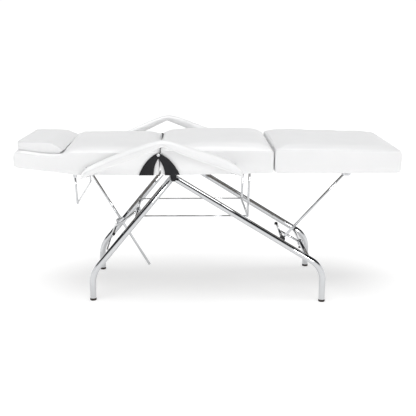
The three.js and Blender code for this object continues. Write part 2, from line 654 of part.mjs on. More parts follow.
// The back rest side carries a slotted plate for the pin at the rear of the arm rest.
function armRearBracket(s) {
  const { x, z } = ARM_REAR;
  const low = backBottom(x) - 3.3;
  const shape = outline([[x - 14, low], [x + 26, low], [x + 26, z + 14], [x - 14, z + 14]]);
  shape.holes.push(slot(x + 5.5, z, 12, 8.2));
  const plate = slab(shape, s * 301, s * 304);
  const ends = [s * 255, s * 303].sort((a, b) => a - b);
  const flange = block([x - 14, ends[0], low], [x + 26, ends[1], backBottom(x) - GAP]);
  return join(plate, flange);
}

for (const [side, s] of SIDES) {
  add(`armrest_pad_${side}`, armPad(s), vinyl);
  add(`armrest_frame_${side}`, armFrame(s), blackSteel);
  add(`armrest_front_bracket_${side}`, armFrontBracket(s), zinc);
  add(`armrest_rear_bracket_${side}`, armRearBracket(s), zinc);
}

export default bed;
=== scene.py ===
# %% [markdown]
# # A facial treatment bed
# The real thing is a padded couch in three parts on two crossed frames of chromed tube. A back rest and a
# leg rest tilt about the seat, two arm rests hang beside them, and a wedge pillow lies at the head end.
#
# The frame that is loaded first holds every part at its true size, in metres, with +X to the feet, +Y to
# the patient's left and +Z up. Everything made here is laid over that frame, so nothing has to be fitted
# by eye.

import json
import math

import bmesh
import bpy
import numpy as np
from mathutils import Matrix, Vector
from mathutils.bvhtree import BVHTree


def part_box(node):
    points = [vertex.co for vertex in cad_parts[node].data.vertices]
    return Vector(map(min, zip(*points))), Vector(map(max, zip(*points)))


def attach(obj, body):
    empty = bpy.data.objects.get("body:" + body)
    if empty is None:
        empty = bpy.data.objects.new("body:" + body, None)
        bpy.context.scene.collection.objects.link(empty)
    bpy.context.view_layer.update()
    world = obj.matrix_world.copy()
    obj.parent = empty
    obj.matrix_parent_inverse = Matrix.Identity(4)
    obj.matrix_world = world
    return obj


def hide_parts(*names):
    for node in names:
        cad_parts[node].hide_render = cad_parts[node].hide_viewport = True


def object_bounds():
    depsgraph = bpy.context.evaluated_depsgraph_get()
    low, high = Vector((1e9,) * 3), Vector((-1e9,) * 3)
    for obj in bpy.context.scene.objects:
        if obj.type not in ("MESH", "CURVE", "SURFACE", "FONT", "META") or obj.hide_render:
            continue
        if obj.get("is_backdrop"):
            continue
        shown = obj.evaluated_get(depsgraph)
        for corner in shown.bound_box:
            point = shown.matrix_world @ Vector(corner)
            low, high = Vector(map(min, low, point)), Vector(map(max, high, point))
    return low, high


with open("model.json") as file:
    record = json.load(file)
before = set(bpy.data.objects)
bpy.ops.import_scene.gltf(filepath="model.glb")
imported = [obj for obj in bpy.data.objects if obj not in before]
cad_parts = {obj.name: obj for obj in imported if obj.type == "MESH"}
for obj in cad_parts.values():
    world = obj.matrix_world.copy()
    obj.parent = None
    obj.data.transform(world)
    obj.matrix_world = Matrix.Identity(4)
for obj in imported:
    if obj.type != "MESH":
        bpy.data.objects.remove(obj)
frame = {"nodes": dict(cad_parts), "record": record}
cad_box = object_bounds()
BODY_OF = {n: body for body, nodes in frame["record"]["behaviour"]["bodies"].items() for n in nodes}
SIDES = (("right", -1), ("left", 1))

# %% [markdown]
# ## From numbers to meshes
# A surface is easiest to control as a rule that turns two numbers into a point. The whole grid of points
# is worked out at once with numpy and handed to Blender in one go. A piece could be modelled by hand
# instead, but then its size would have to be measured again after every change.

# %% Meshes, and what each piece stands for
def mesh_object(name, points, faces):
    """A smooth mesh at the origin from an array of points and a list of faces."""
    mesh = bpy.data.meshes.new(name)
    mesh.from_pydata(np.asarray(points, float).tolist(), [], [list(map(int, f)) for f in faces])
    mesh.update()
    mesh.polygons.foreach_set("use_smooth", np.full(len(mesh.polygons), True))
    piece = bpy.data.objects.new(name, mesh)
    bpy.context.scene.collection.objects.link(piece)
    return piece


def outwards(piece, merge=0.0):
    """Turns a closed mesh's faces to point out of it, after merging points that are that close."""
    work = bmesh.new()
    work.from_mesh(piece.data)
    if merge:
        bmesh.ops.remove_doubles(work, verts=work.verts, dist=merge)
    bmesh.ops.recalc_face_normals(work, faces=work.faces)
    work.to_mesh(piece.data)
    work.free()
    return piece


def place(piece, look, nodes=(), body=None):
    """Gives a piece the material of its look, and lets it ride on the body of the nodes that it stands for.
    """
    material, slot = look
    piece.data.materials.clear()
    piece.data.materials.append(material)
    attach(piece, body or BODY_OF[nodes[0]])
    if nodes:
        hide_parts(*nodes)
    return piece


def make(name, shape, look, nodes=(), body=None):
    """A placed piece from a (points, faces) pair."""
    return place(outwards(mesh_object(name, *shape)), look, nodes, body)


def combine(*parts):
    """Several (points, faces) pairs as one pair."""
    points, faces, start = [], [], 0
    for part_points, part_faces in parts:
        points.append(np.asarray(part_points, float))
        faces.extend([[i + start for i in f] for f in part_faces])
        start += len(part_points)
    return np.concatenate(points), faces


print("pieces can be made and placed")

# %% [markdown]
# ## Round bars
# Most of the metal is round tube or rod with a few bends. Each one is a circle carried along a centre
# line that lies in one plane, so the circle never twists: one of its axes is always the plane's normal.
# The ends get a small bevel, because a cut and deburred bar never has a razor edge. A curve object with a
# bevel would also do, but its ends would be flat and sharp.

# %% Centre lines and bars
def unit(v):
    """v with length one along its last axis."""
    v = np.asarray(v, float)
    return v / np.maximum(np.linalg.norm(v, axis=-1, keepdims=True), 1e-12)


def bent_path(corners, radii, steps=18):
    """Straight runs joined by arcs: each inner corner is cut off by a circle that touches both runs."""
    at = np.asarray(corners, float)
    runs = [at[:1]]
    for corner, before, after, radius in zip(at[1:-1], at[:-2], at[2:], radii):
        a, b = unit(before - corner), unit(after - corner)
        half = math.acos(float(np.clip(a @ b, -1, 1))) / 2
        centre = corner + unit(a + b) * radius / math.sin(half)
        start = corner + a * radius / math.tan(half) - centre
        across = unit(np.cross(np.cross(start, b), start)) * radius
        turn = np.linspace(0, math.pi - 2 * half, steps)[:, None]
        runs.append(centre + start * np.cos(turn) + across * np.sin(turn))
    runs.append(at[-1:])
    return np.concatenate(runs)


def tangents(path):
    """The mean of the directions to both neighbours at each point of a path."""
    step = unit(np.diff(path, axis=0))
    return unit(np.concatenate([step[:1], step[:-1] + step[1:], step[-1:]]))


def rings(centres, radii, side, up, sides):
    """Circles of the given radii: centre + radius * (cos a * side + sin a * up)."""
    a = np.linspace(0, 2 * math.pi, sides, endpoint=False)
    circle = side[:, None] * np.cos(a)[None, :, None] + up[:, None] * np.sin(a)[None, :, None]
    return centres[:, None] + radii[:, None, None] * circle


def ring_faces(count, sides, loop=False):
    """Quads between neighbouring rings; loop joins the last ring to the first."""
    i = np.arange(count if loop else count - 1)[:, None]
    j = np.arange(sides)[None]
    k, m = (i + 1) % count, (j + 1) % sides
    return np.stack([i * sides + j, i * sides + m, k * sides + m, k * sides + j], -1).reshape(-1, 4)


def ring_loop(grid):
    """Rings as a closed skin whose last ring meets its first."""
    return grid.reshape(-1, 3), ring_faces(*grid.shape[:2], loop=True).tolist()


def closed_sweep(grid):
    """Rings as a closed skin: the first and last ring are each drawn together to a middle point."""
    count, sides = grid.shape[:2]
    points = np.concatenate([grid.reshape(-1, 3), grid[:1].mean(1), grid[-1:].mean(1)])
    j, last = np.arange(sides), (count - 1) * sides
    ends = np.concatenate([
        np.stack([np.full(sides, count * sides), (j + 1) % sides, j], 1),
        np.stack([np.full(sides, count * sides + 1), last + j, last + (j + 1) % sides], 1),
    ])
    return points, ring_faces(count, sides).tolist() + ends.tolist()


def bevelled(path, normal, bevel):
    """Ring centres with one more a bevel in from each end, and the two axes of the circles there."""
    path = np.asarray(path, float)
    t = tangents(path)
    centres = [path[:1], path[:1] + t[:1] * bevel, path[1:-1], path[-1:] - t[-1:] * bevel, path[-1:]]
    t = np.concatenate([t[:1], t[:1], t[1:-1], t[-1:], t[-1:]])
    side = np.broadcast_to(unit(normal), t.shape)
    return np.concatenate(centres), side, unit(np.cross(side, t))


def bar(path, radius, normal=(0, 1, 0), sides=32, bevel=0.0008):
    """A round bar along a flat path whose plane has that normal, with bevelled ends."""
    centres, side, up = bevelled(path, normal, bevel)
    radii = np.full(len(centres), float(radius))
    radii[[0, -1]] -= bevel
    return closed_sweep(rings(centres, radii, side, up, sides))


def pipe(path, outer, inner, normal=(0, 1, 0), sides=40, bevel=0.0005):
    """A tube: rings go up the outside, over the rim, down the bore and back to the first ring."""
    centres, side, up = bevelled(path, normal, bevel)
    out = np.full(len(centres), outer)
    out[[0, -1]] -= bevel
    bore = np.full(len(centres), inner)
    walls = [rings(centres, out, side, up, sides), rings(centres, bore, side, up, sides)[::-1]]
    return ring_loop(np.concatenate(walls))


def lathe(base, direction, profile, sides=40, loop=False):
    """A turned part: profile rows are (distance along the axis, radius); loop closes a hollow profile."""
    profile = np.asarray(profile, float)
    axis = unit(direction)
    side = unit(np.cross(axis, (0, 0, 1) if abs(axis[2]) < 0.9 else (1, 0, 0)))
    up = np.cross(axis, side)
    n = len(profile)
    centres = np.asarray(base, float) + profile[:, :1] * axis
    grid = rings(centres, profile[:, 1], np.tile(side, (n, 1)), np.tile(up, (n, 1)), sides)
    return ring_loop(grid) if loop else closed_sweep(grid)


print("bars, pipes and turned parts are ready")

# %% [markdown]
# ## Shared effects
# Three effects turn up in more than one finish, so each is a node group with its own values in each
# material: pebbled grain, cloudy unevenness, and fine scratches. They read Object coordinates, which stay
# put on a piece because every object sits at the origin.

# %% Node groups for grain, clouding and scratches
def feed(tree, node, **values):
    """Sets inputs by name, with _ for a space: a socket is linked, and anything else is the input's value."""
    for label, value in values.items():
        socket = node.inputs[label.replace("_", " ")]
        if isinstance(value, bpy.types.NodeSocket):
            tree.links.new(value, socket)
        else:
            socket.default_value = value
    return node


def add(tree, kind, **values):
    """A new shader node of that kind, fed with values."""
    return feed(tree, tree.nodes.new(f"ShaderNode{kind}"), **values)


def math_node(tree, kind, a, b, clamp=False):
    """A Math node fed by sockets or numbers."""
    node = tree.nodes.new("ShaderNodeMath")
    node.operation, node.use_clamp = kind, clamp
    for socket, value in zip(node.inputs, (a, b)):
        if isinstance(value, float):
            socket.default_value = value
        else:
            tree.links.new(value, socket)
    return node.outputs[0]


def node_group(name, inputs, output):
    """An empty shader group with float inputs {name: default} and one float output."""
    group = bpy.data.node_groups.new(name, "ShaderNodeTree")
    for label, value in inputs.items():
        group.interface.new_socket(label, in_out="INPUT", socket_type="NodeSocketFloat").default_value = value
    group.interface.new_socket(output, in_out="OUTPUT", socket_type="NodeSocketFloat")
    given, spot = group.nodes.new("NodeGroupInput"), add(group, "TexCoord")
    return group, given.outputs, spot.outputs["Object"], group.nodes.new("NodeGroupOutput")


def grain_group():
    """Pebbled hide: cell distance makes pebbles, a finer noise roughens them."""
    group, given, spot, out = node_group("pebble grain", {"Scale": 600.0, "Fine": 0.35}, "Height")
    cells = add(group, "TexVoronoi", Vector=spot, Scale=given["Scale"])
    cells.feature = "SMOOTH_F1"  # this kind of cell has one more input
    feed(group, cells, Smoothness=0.6)
    finer = math_node(group, "MULTIPLY", given["Scale"], 2.7)
    fine = add(group, "TexNoise", Vector=spot, Scale=finer, Detail=4.0)
    roughened = math_node(group, "MULTIPLY", fine.outputs["Fac"], given["Fine"])
    feed(group, out, Height=math_node(group, "ADD", cells.outputs["Distance"], roughened))
    return group


def cloud_group():
    """Soft patches from 0 to 1, from noise drawn apart about its middle."""
    group, given, spot, out = node_group("clouding", {"Scale": 6.0, "Contrast": 1.0}, "Mask")
    noise = add(group, "TexNoise", Vector=spot, Scale=given["Scale"], Detail=5.0, Distortion=0.4)
    centred = math_node(group, "SUBTRACT", noise.outputs["Fac"], 0.5)
    spread = math_node(group, "MULTIPLY", centred, given["Contrast"])
    feed(group, out, Mask=math_node(group, "ADD", spread, 0.5, clamp=True))
    return group


def scratch_group():
    """Hairlines: noise that is drawn out along one direction and kept only where it peaks."""
    group, given, spot, out = node_group("scratches", {"Scale": 40.0, "Stretch": 14.0}, "Mask")
    along_x = add(group, "SeparateXYZ", Vector=spot).outputs
    y, z = (math_node(group, "MULTIPLY", along_x[axis], given["Stretch"]) for axis in "YZ")
    drawn = add(group, "CombineXYZ", X=along_x["X"], Y=y, Z=z).outputs[0]
    noise = add(group, "TexNoise", Vector=drawn, Scale=given["Scale"], Detail=2.0)
    peaks = math_node(group, "SUBTRACT", noise.outputs["Fac"], 0.62)
    feed(group, out, Mask=math_node(group, "MULTIPLY", peaks, 9.0, clamp=True))
    return group


GRAIN, CLOUD, SCRATCH = grain_group(), cloud_group(), scratch_group()
print("effects:", GRAIN.name, CLOUD.name, SCRATCH.name)

# %% [markdown]
# ## Finishes
# Each finish has one Principled shader. Its flat values are set on the shader's own sockets, and only
# what changes over the surface comes in through nodes.

# %% A helper for finishes
def finish(name, slot, color, roughness, metallic=0.0, **extra):
    """A look, which is a material and its slot, with its tree and its Principled shader."""
    material = bpy.data.materials.new(name)
    material.use_nodes = True
    tree, shader = material.node_tree, material.node_tree.nodes["Principled BSDF"]
    feed(tree, shader, Base_Color=(*color, 1), Roughness=roughness, Metallic=metallic, **extra)
    return (material, slot), tree, shader


def effect(tree, group, **values):
    """A node group placed in a material with its own values."""
    node = tree.nodes.new("ShaderNodeGroup")
    node.node_tree = group
    return feed(tree, node, **values).outputs[0]


def ramp(tree, mask, low, high):
    """Two colours blended by a mask."""
    node = add(tree, "ValToRGB", Fac=mask)
    for stop, color in zip(node.color_ramp.elements, (low, high)):
        stop.color = (*color, 1)
    return node.outputs["Color"]


def between(tree, mask, low, high):
    """A value from low to high as the mask goes from 0 to 1."""
    return add(tree, "MapRange", Value=mask, To_Min=low, To_Max=high).outputs["Result"]


def bump(tree, shader, height, distance, strength):
    """Lets a height raise the surface by that distance in metres."""
    node = add(tree, "Bump", Height=height, Distance=distance, Strength=strength)
    feed(tree, shader, Normal=node.outputs["Normal"])


print("a finish has a look, a node tree and a shader")

# %% [markdown]
# The upholstery is white expanded vinyl with a fine pebble grain about a millimetre across. It is soft to
# look at, not glossy, and slightly darker in patches where it has been handled.

# %% White vinyl, its thread, and a darker copy as painted shade for seams and piping
def vinyl(name, low, high, grain_scale, grain_height):
    """Vinyl that clouds from one white to another, with a grain of that scale and height."""
    look, tree, shader = finish(name, "vinyl", high, 0.42, Specular_IOR_Level=0.45, Sheen_Weight=0.08)
    cloud = effect(tree, CLOUD, Scale=5.0, Contrast=1.6)
    feed(tree, shader, Base_Color=ramp(tree, cloud, low, high), Roughness=between(tree, cloud, 0.36, 0.48))
    bump(tree, shader, effect(tree, GRAIN, Scale=grain_scale, Fine=0.35), grain_height, 0.55)
    return look


white_vinyl = vinyl("white_vinyl", (0.83, 0.832, 0.835), (0.872, 0.872, 0.872), 650.0, 0.00022)
# The seam vinyl is a darker copy of the white vinyl: painted shade for the crease along every welt, piping
# and arm seam.
shaded_seam_vinyl = vinyl("shaded_seam_vinyl", (0.74, 0.742, 0.748), (0.80, 0.80, 0.804), 800.0, 0.00012)
thread, tree, shader = finish("white_thread", "vinyl", (0.70, 0.70, 0.71), 0.7, Sheen_Weight=0.2)
cloud = effect(tree, CLOUD, Scale=300.0, Contrast=2.0)
feed(tree, shader, Base_Color=ramp(tree, cloud, (0.62, 0.62, 0.63), (0.75, 0.75, 0.76)))
print("upholstery finishes made")

# %% [markdown]
# Chrome is a near-perfect mirror, so nearly all of its look is in what it reflects. Faint smudges and
# hairlines in the roughness stop it from looking like a computer's chrome. The hinge plates are steel
# with a black powder coat, which has a fine orange-peel surface.

# %% Chrome, powder coat and zinc
chrome, tree, shader = finish("chrome", "chrome", (0.60, 0.605, 0.62), 0.06, 1.0)
cloud, scratch = effect(tree, CLOUD, Scale=14.0, Contrast=1.8), effect(tree, SCRATCH, Scale=30.0)
smudge = math_node(tree, "ADD", cloud, scratch, clamp=True)
tint = ramp(tree, effect(tree, CLOUD, Scale=9.0), (0.54, 0.55, 0.57), (0.66, 0.665, 0.67))
feed(tree, shader, Base_Color=tint, Roughness=between(tree, smudge, 0.02, 0.09))

black_steel, tree, shader = finish("black_powder_coat", "black_steel", (0.012, 0.012, 0.014), 0.5,
                                   Specular_IOR_Level=0.2)
tint = ramp(tree, effect(tree, CLOUD, Scale=30.0, Contrast=1.5), (0.008, 0.008, 0.009), (0.02, 0.02, 0.023))
feed(tree, shader, Base_Color=tint, Roughness=between(tree, effect(tree, CLOUD, Scale=60.0), 0.4, 0.6))
bump(tree, shader, effect(tree, GRAIN, Scale=900.0, Fine=0.2), 0.00008, 0.5)

zinc, tree, shader = finish("bright_zinc", "zinc", (0.6, 0.61, 0.63), 0.3, 1.0)
tint = ramp(tree, effect(tree, CLOUD, Scale=120.0, Contrast=2.5), (0.5, 0.51, 0.54), (0.7, 0.7, 0.7))
feed(tree, shader, Base_Color=tint, Roughness=between(tree, effect(tree, SCRATCH, Scale=80.0), 0.24, 0.5))
print("metal finishes made")

# %% [markdown]
# The foot caps are dark rubber, the knobs and the leg rest's swivel block are moulded plastic, and the
# boards under the cushions are raw birch plywood, dull and drawn out along its grain.

# %% Rubber, plastic and plywood
rubber, tree, shader = finish("dark_rubber", "rubber", (0.03, 0.02, 0.017), 0.75)
tint = ramp(tree, effect(tree, CLOUD, Scale=70.0, Contrast=2.0), (0.02, 0.014, 0.012), (0.055, 0.04, 0.034))
feed(tree, shader, Base_Color=tint)
bump(tree, shader, effect(tree, GRAIN, Scale=1400.0, Fine=0.8), 0.0001, 0.6)

black_plastic, tree, shader = finish("black_plastic", "black_plastic", (0.015, 0.015, 0.016), 0.45,
                                     Specular_IOR_Level=0.3)
feed(tree, shader, Roughness=between(tree, effect(tree, CLOUD, Scale=45.0), 0.36, 0.55))
bump(tree, shader, effect(tree, GRAIN, Scale=1600.0, Fine=0.5), 0.00005, 0.4)

plywood, tree, shader = finish("dull_plywood", "plywood", (0.22, 0.18, 0.14), 0.7)
spot = add(tree, "TexCoord").outputs["Object"]
fibre = add(tree, "Mapping", Vector=spot, Scale=(2.0, 26.0, 60.0)).outputs["Vector"]
wood = add(tree, "TexNoise", Vector=fibre, Scale=1.6, Detail=8.0, Distortion=0.6).outputs["Fac"]
feed(tree, shader, Base_Color=ramp(tree, wood, (0.12, 0.105, 0.09), (0.26, 0.235, 0.205)))
bump(tree, shader, wood, 0.0002, 0.5)
print("other finishes made")

# %% [markdown]
# ## The crossed legs
# Each leg is one chromed tube that stands upright on the floor, bends once and runs up to the bolt that
# joins the two frames. The head-end pair is steeper than the foot-end pair. The tube is hollow, so it is
# made as a pipe with a wall, and the slope of each leg comes from its foot and the bolt.

# %% Legs
UNDERSIDE, SEAT_SLOPE = 0.655, 9 / 545
PIVOT = np.array([-0.169, 0.636])
TUBE, WALL = 0.016, 0.0016
# the foot's x and y, the slope, the radius of the bend, and the way to the bolt
LEGS = {"head": (-0.576, 0.239, 1.2205, 0.150, 1), "foot": (0.568, 0.277, 0.6212, 0.120, -1)}
TUBE_END, PAST_BOLT = 0.012, 0.008  # the tube starts this high in its cap and ends this far past the bolt


def leg_height(end, x):
    """The height of a leg's centre line on its straight run, down the slope from the bolt."""
    return PIVOT[1] - abs(x - PIVOT[0]) * LEGS[end][2]


for end, (foot_x, y, slope, bend, to_pivot) in LEGS.items():
    over = PAST_BOLT * unit([1, slope])
    for side, s in SIDES:
        corners = [(foot_x, s * y, TUBE_END), (foot_x, s * y, leg_height(end, foot_x)),
                   (PIVOT[0] + to_pivot * over[0], s * y, PIVOT[1] + over[1])]
        tube = pipe(bent_path(corners, [bend], 28), TUBE, TUBE - WALL)
        make(f"{end}_leg_tube_{side}", tube, chrome, [f"{end}_leg_{side}"])

# %% [markdown]
# A ribbed rubber cap closes the foot of each tube. A turned profile gives its tread, its three grip rings
# and the plug inside the tube in one skin.

# %% Foot caps
rib = [(0.0, 0.0), (0.0, 0.0135), (0.0004, 0.0150), (0.0015, 0.0163)]
for k in range(3):
    z = 0.0028 + 0.0028 * k
    rib += [(z, 0.0163), (z + 0.0004, 0.0156), (z + 0.0011, 0.0156), (z + 0.0015, 0.0163)]
rib += [(0.0110, 0.0163), (0.0117, 0.0158), (0.0117, 0.0139), (0.0300, 0.0137), (0.0300, 0.0)]
for end, (foot_x, y, *_) in LEGS.items():
    for side, s in SIDES:
        cap = lathe((foot_x, s * y, 0), (0, 0, 1), rib, 48)
        make(f"{end}_ferrule_{side}", cap, rubber, [f"{end}_foot_cap_{side}"])

# %% [markdown]
# ## Cross bars and stays
# A bar joins each pair of legs and is welded to them. Where a round bar meets a round tube, the weld runs
# along a saddle: at each angle round the bar the tube's wall is at sqrt(R^2 - (r sin a)^2) from the
# tube's middle. A thin rippled bead along that line is what tells the eye that the two are one frame.

# %% Cross bars with their weld beads
BEAD, RIPPLE, RIPPLES, BEAD_STEPS = 0.0019, 0.00025, 18, 72
BARS = {"head": (-0.358, 0.008), "foot": (0.494, 0.011)}  # the bar's x and its radius


def weld_bead(x, z, y, radius, slope, toward):
    """A closed rope of weld along the saddle between a cross bar and a leg tube."""
    d = unit([1.0, slope])
    n = np.array([-d[1], d[0]])
    a = np.linspace(0, 2 * math.pi, BEAD_STEPS, endpoint=False)
    flat = np.cos(a)[:, None] * d + np.sin(a)[:, None] * n
    depth = np.sqrt(TUBE**2 - (radius * np.sin(a)) ** 2)
    centre = np.stack([x + radius * flat[:, 0], y + toward * depth, z + radius * flat[:, 1]], 1)
    outward = np.stack([flat[:, 0], np.zeros(BEAD_STEPS), flat[:, 1]], 1)
    size = BEAD + RIPPLE * np.sin(RIPPLES * a)
    inward = np.tile([0.0, toward, 0.0], (BEAD_STEPS, 1))
    return ring_loop(rings(centre, size, outward, inward, 10))


for end, (x, r) in BARS.items():
    leg_y, slope = LEGS[end][1:3]
    z = leg_height(end, x)
    reach = leg_y - TUBE + 0.004
    make(f"{end}_cross_bar", bar([(x, -reach, z), (x, reach, z)], r, (0, 0, 1)), chrome, [f"{end}_crossbar"])
    lean = slope if end == "head" else -slope
    beads = combine(*[weld_bead(x, z, s * leg_y, r, lean, -s) for _, s in SIDES])
    make(f"{end}_bar_welds", beads, chrome, body="frame")

# %% Thin rods
ROD_X, ROD_Y, ROD_Z, ROD = -0.4996, 0.244, 0.2646, 0.004
STAY_Y, STAY_Z = 0.182, 0.419
low_rod = bar([(ROD_X, -ROD_Y, ROD_Z), (ROD_X, ROD_Y, ROD_Z)], ROD, (0, 0, 1), 24)
make("lower_rod", low_rod, chrome, ["head_lower_rod"])
for side, s in SIDES:
    ends = [(-0.364, s * STAY_Y, STAY_Z), (0.1995, s * STAY_Y, STAY_Z + 0.0006)]
    make(f"stay_rod_{side}", bar(ends, ROD, (0, 1, 0), 24, 0.0012), chrome, [f"stay_{side}"])
print("thin rods made")

# %% [markdown]
# ## Strut anchors
# An arm is clamped on each cross bar and carries a short bar across its end. One end of that bar holds
# the swivel block of a strut, and the other has a plastic cap. A wing screw under the clamp locks it.

# %% Anchor arms, tee bars and caps
TEES = {"head": (-0.476, 0.312, 0.006, 1), "foot": (0.379, 0.290, 0.008, -1)}  # x, z, radius, block's side
for end, (tx, tz, tr, s) in TEES.items():
    x, r = BARS[end]
    z = leg_height(end, x)
    ring = r + 0.0065
    rim = [(0.0, 0.0012), (0.0004, 0.0004), (0.0012, 0.0)]
    wall = [(y, ring - cut) for y, cut in rim] + [(0.028 - y, ring - cut) for y, cut in rim[::-1]]
    collar_profile = [(0.0, r + 0.0004), *wall, (0.028, r + 0.0004)]
    collar = lathe((x, -0.014, z), (0, 1, 0), collar_profile, 48, loop=True)
    way = unit([tx - x, tz - z])
    a, b = np.array([x, z]) + way * (r + 0.003), np.array([tx, tz]) - way * (tr - 0.001)
    arm = bar([(a[0], 0, a[1]), (b[0], 0, b[1])], 0.006, (0, 1, 0))
    make(f"{end}_clamp_arm", combine(collar, arm), chrome, [f"{end}_anchor_arm"])
    tee = bar([(tx, -s * 0.126, tz), (tx, s * 0.126, tz)], tr, (0, 0, 1))
    spigot = bar([(tx, s * 0.122, tz), (tx, s * 0.1335, tz)], 0.005, (0, 0, 1))
    make(f"{end}_tee", combine(tee, spigot), chrome, [f"{end}_tee_bar"])
    c = tr + 0.0015
    knob = lathe((tx, -s * 0.1262, tz), (0, -s, 0), [(0, 0), (0, c - 0.0006), (0.0006, c), (0.009, c),
                 (0.0108, c - 0.0009), (0.0117, c - 0.003), (0.0117, 0)], 36)
    make(f"{end}_tee_plug", knob, black_plastic, [f"{end}_tee_cap"])
print("anchors made for", list(TEES))

# %% [markdown]
# ## Flat steel parts
# The sickle-shaped hinge plates are cut from sheet and have softly broken edges. A flat outline with a
# small bevel gives exactly that, and takes a hole as a second loop. The outline's curves are quadratic
# Bezier arcs: (1-t)^2 a + 2t(1-t) b + t^2 c.

# %% Plates cut from sheet
def arc(a, b, c, steps=28):
    """Points of a quadratic Bezier arc without its first point."""
    t = np.linspace(0, 1, steps + 1)[1:, None]
    a, b, c = (np.asarray(p, float) for p in (a, b, c))
    return (1 - t) ** 2 * a + 2 * t * (1 - t) * b + t**2 * c


def circle(x, z, r, steps=36, start=0.0, turn=2 * math.pi):
    """Points on a circle, from a start angle through a turn."""
    a = start + np.linspace(0, turn, steps, endpoint=turn < 6)
    return np.stack([x + r * np.cos(a), z + r * np.sin(a)], 1)


def plate(loops, y0, y1, bevel=0.0005):
    """A sheet between two Y planes from XZ outlines: the first is the edge, the others are holes."""
    curve = bpy.data.curves.new("outline", "CURVE")
    curve.dimensions, curve.fill_mode = "2D", "BOTH"
    curve.extrude, curve.bevel_depth, curve.bevel_resolution = abs(y1 - y0) / 2 - bevel, bevel, 1
    curve.offset = -bevel
    for loop in loops:
        spline = curve.splines.new("POLY")
        spline.points.add(len(loop) - 1)
        flat = np.concatenate([loop, np.zeros((len(loop), 1)), np.ones((len(loop), 1))], 1)
        spline.points.foreach_set("co", flat.ravel())
        spline.use_cyclic_u = True
    holder = bpy.data.objects.new("outline", curve)
    mesh = bpy.data.meshes.new_from_object(holder)
    bpy.data.objects.remove(holder)
    at = np.empty(len(mesh.vertices) * 3)
    mesh.vertices.foreach_get("co", at)
    at = at.reshape(-1, 3)
    faces = [list(p.vertices)[::-1] for p in mesh.polygons]
    bpy.data.meshes.remove(mesh)
    bpy.data.curves.remove(curve)
    return np.stack([at[:, 0], (y0 + y1) / 2 - at[:, 2], at[:, 1]], 1), faces


def crease(piece, angle=30):
    """Merges doubled points, points the faces outwards and keeps edges sharper than the angle crisp."""
    outwards(piece, merge=1e-6)
    piece.data.polygons.foreach_set("use_smooth", np.full(len(piece.data.polygons), True))
    piece.data.set_sharp_from_angle(angle=math.radians(angle))
    return piece


HINGE = np.array([-0.240, 0.750])
PLATE_Y, PLATE, BORE, EAR = 0.3016, 0.003, 0.0053, 0.014
BACK_BEND, BACK_RISE = -0.611, 0.119  # where the back rest's board starts to rise, and its slope there


def p(x, z):
    """A point of a plate's outline, in millimetres from the hinge."""
    return HINGE + np.array([x, z]) / 1000


def back_outline():
    """The sickle on the back rest's side of the hinge."""
    return np.concatenate([[p(0, 10)], arc(p(0, 10), p(-62, -18), p(-94, -99)), [p(-23, -99)],
                           arc(p(-23, -99), p(-22, -50), p(-2, -21)), [p(10, -14)],
                           arc(p(10, -14), p(17, 2), p(0, 10), 12)[:-1]])


def seat_outline():
    """The sickle on the seat's side, with an ear for the pivot bolt."""
    ear = circle(*PIVOT, EAR, 24, math.pi, math.pi)
    return np.concatenate([[p(0, 10)], arc(p(0, 10), p(-17, 2), p(-10, -14), 12), [p(3, -21)],
                           arc(p(3, -21), p(28, -52), p(31, -98)), [(PIVOT[0] - EAR, HINGE[1] - 0.098)], ear,
                           [(PIVOT[0] + EAR, HINGE[1] - 0.097), p(101, -95)],
                           arc(p(101, -95), p(66, -16), p(0, 10))[:-1]])


def back_floor(x):
    """The underside of the back rest's board, which rises towards the head end."""
    return UNDERSIDE + np.maximum(0, BACK_BEND - np.asarray(x, float)) * BACK_RISE


def seat_floor(x):
    """The underside of the seat's board, which rises a little towards the leg rest."""
    return UNDERSIDE + SEAT_SLOPE * (np.asarray(x, float) + 0.234)


def leg_floor(x):
    """The leg rest's board is level with the end of the seat's."""
    return np.full_like(np.asarray(x, float), float(seat_floor(0.311)))


def hinge_plate(outline, s, layer, xs, floor, holes):
    """A sickle plate and the flange that is folded under the board."""
    y0 = PLATE_Y + layer * (PLATE + 0.0003)
    sheet = plate([outline, *holes], s * y0, s * (y0 + PLATE))
    z = float(np.min(floor(np.array(xs)))) - 0.0003
    y = sorted((s * 0.250, s * (y0 + 0.001)))
    flange = plate([np.array([(xs[0], z - PLATE), (xs[1], z - PLATE), (xs[1], z), (xs[0], z)])], *y)
    return combine(sheet, flange)


back_flange, seat_flange = (HINGE[0] - 0.086, HINGE[0] - 0.030), (HINGE[0] + 0.033, HINGE[0] + 0.052)
rivet_hole, bolt_hole = circle(*HINGE, BORE), circle(*PIVOT, BORE)
for side, s in SIDES:
    inner = hinge_plate(back_outline(), s, 0, back_flange, back_floor, [rivet_hole])
    outer = hinge_plate(seat_outline(), s, 1, seat_flange, seat_floor, [rivet_hole, bolt_hole])
    place(crease(mesh_object(f"back_sickle_{side}", *inner)), black_steel, [f"backrest_hinge_plate_{side}"])
    place(crease(mesh_object(f"seat_sickle_{side}", *outer)), black_steel, [f"seat_hinge_plate_{side}"])

# %% [markdown]
# The plates turn on a domed rivet, and a bolt with a low domed head joins both legs to the outer plate.
# Each is turned: its profile is a cylinder that ends in a quarter of an ellipse.

# %% Rivets and pivot bolts
def domed_pin(name, x, z, s, inner, outer, head, look, nodes):
    """A pin along Y with a domed head outside."""
    a = np.linspace(0, math.pi / 2, 10)
    length = outer - inner
    dome = np.stack([length + head * np.sin(a), 0.008 * np.cos(a)], 1)
    profile = [(0, 0), (0, 0.0044), (0.0006, 0.005), (length - 0.0001, 0.005), (length - 0.0001, 0.008)]
    pin = mesh_object(name, *lathe((x, s * inner, z), (0, s, 0), np.concatenate([profile, dome]), 40))
    place(crease(pin, 50), look, nodes)


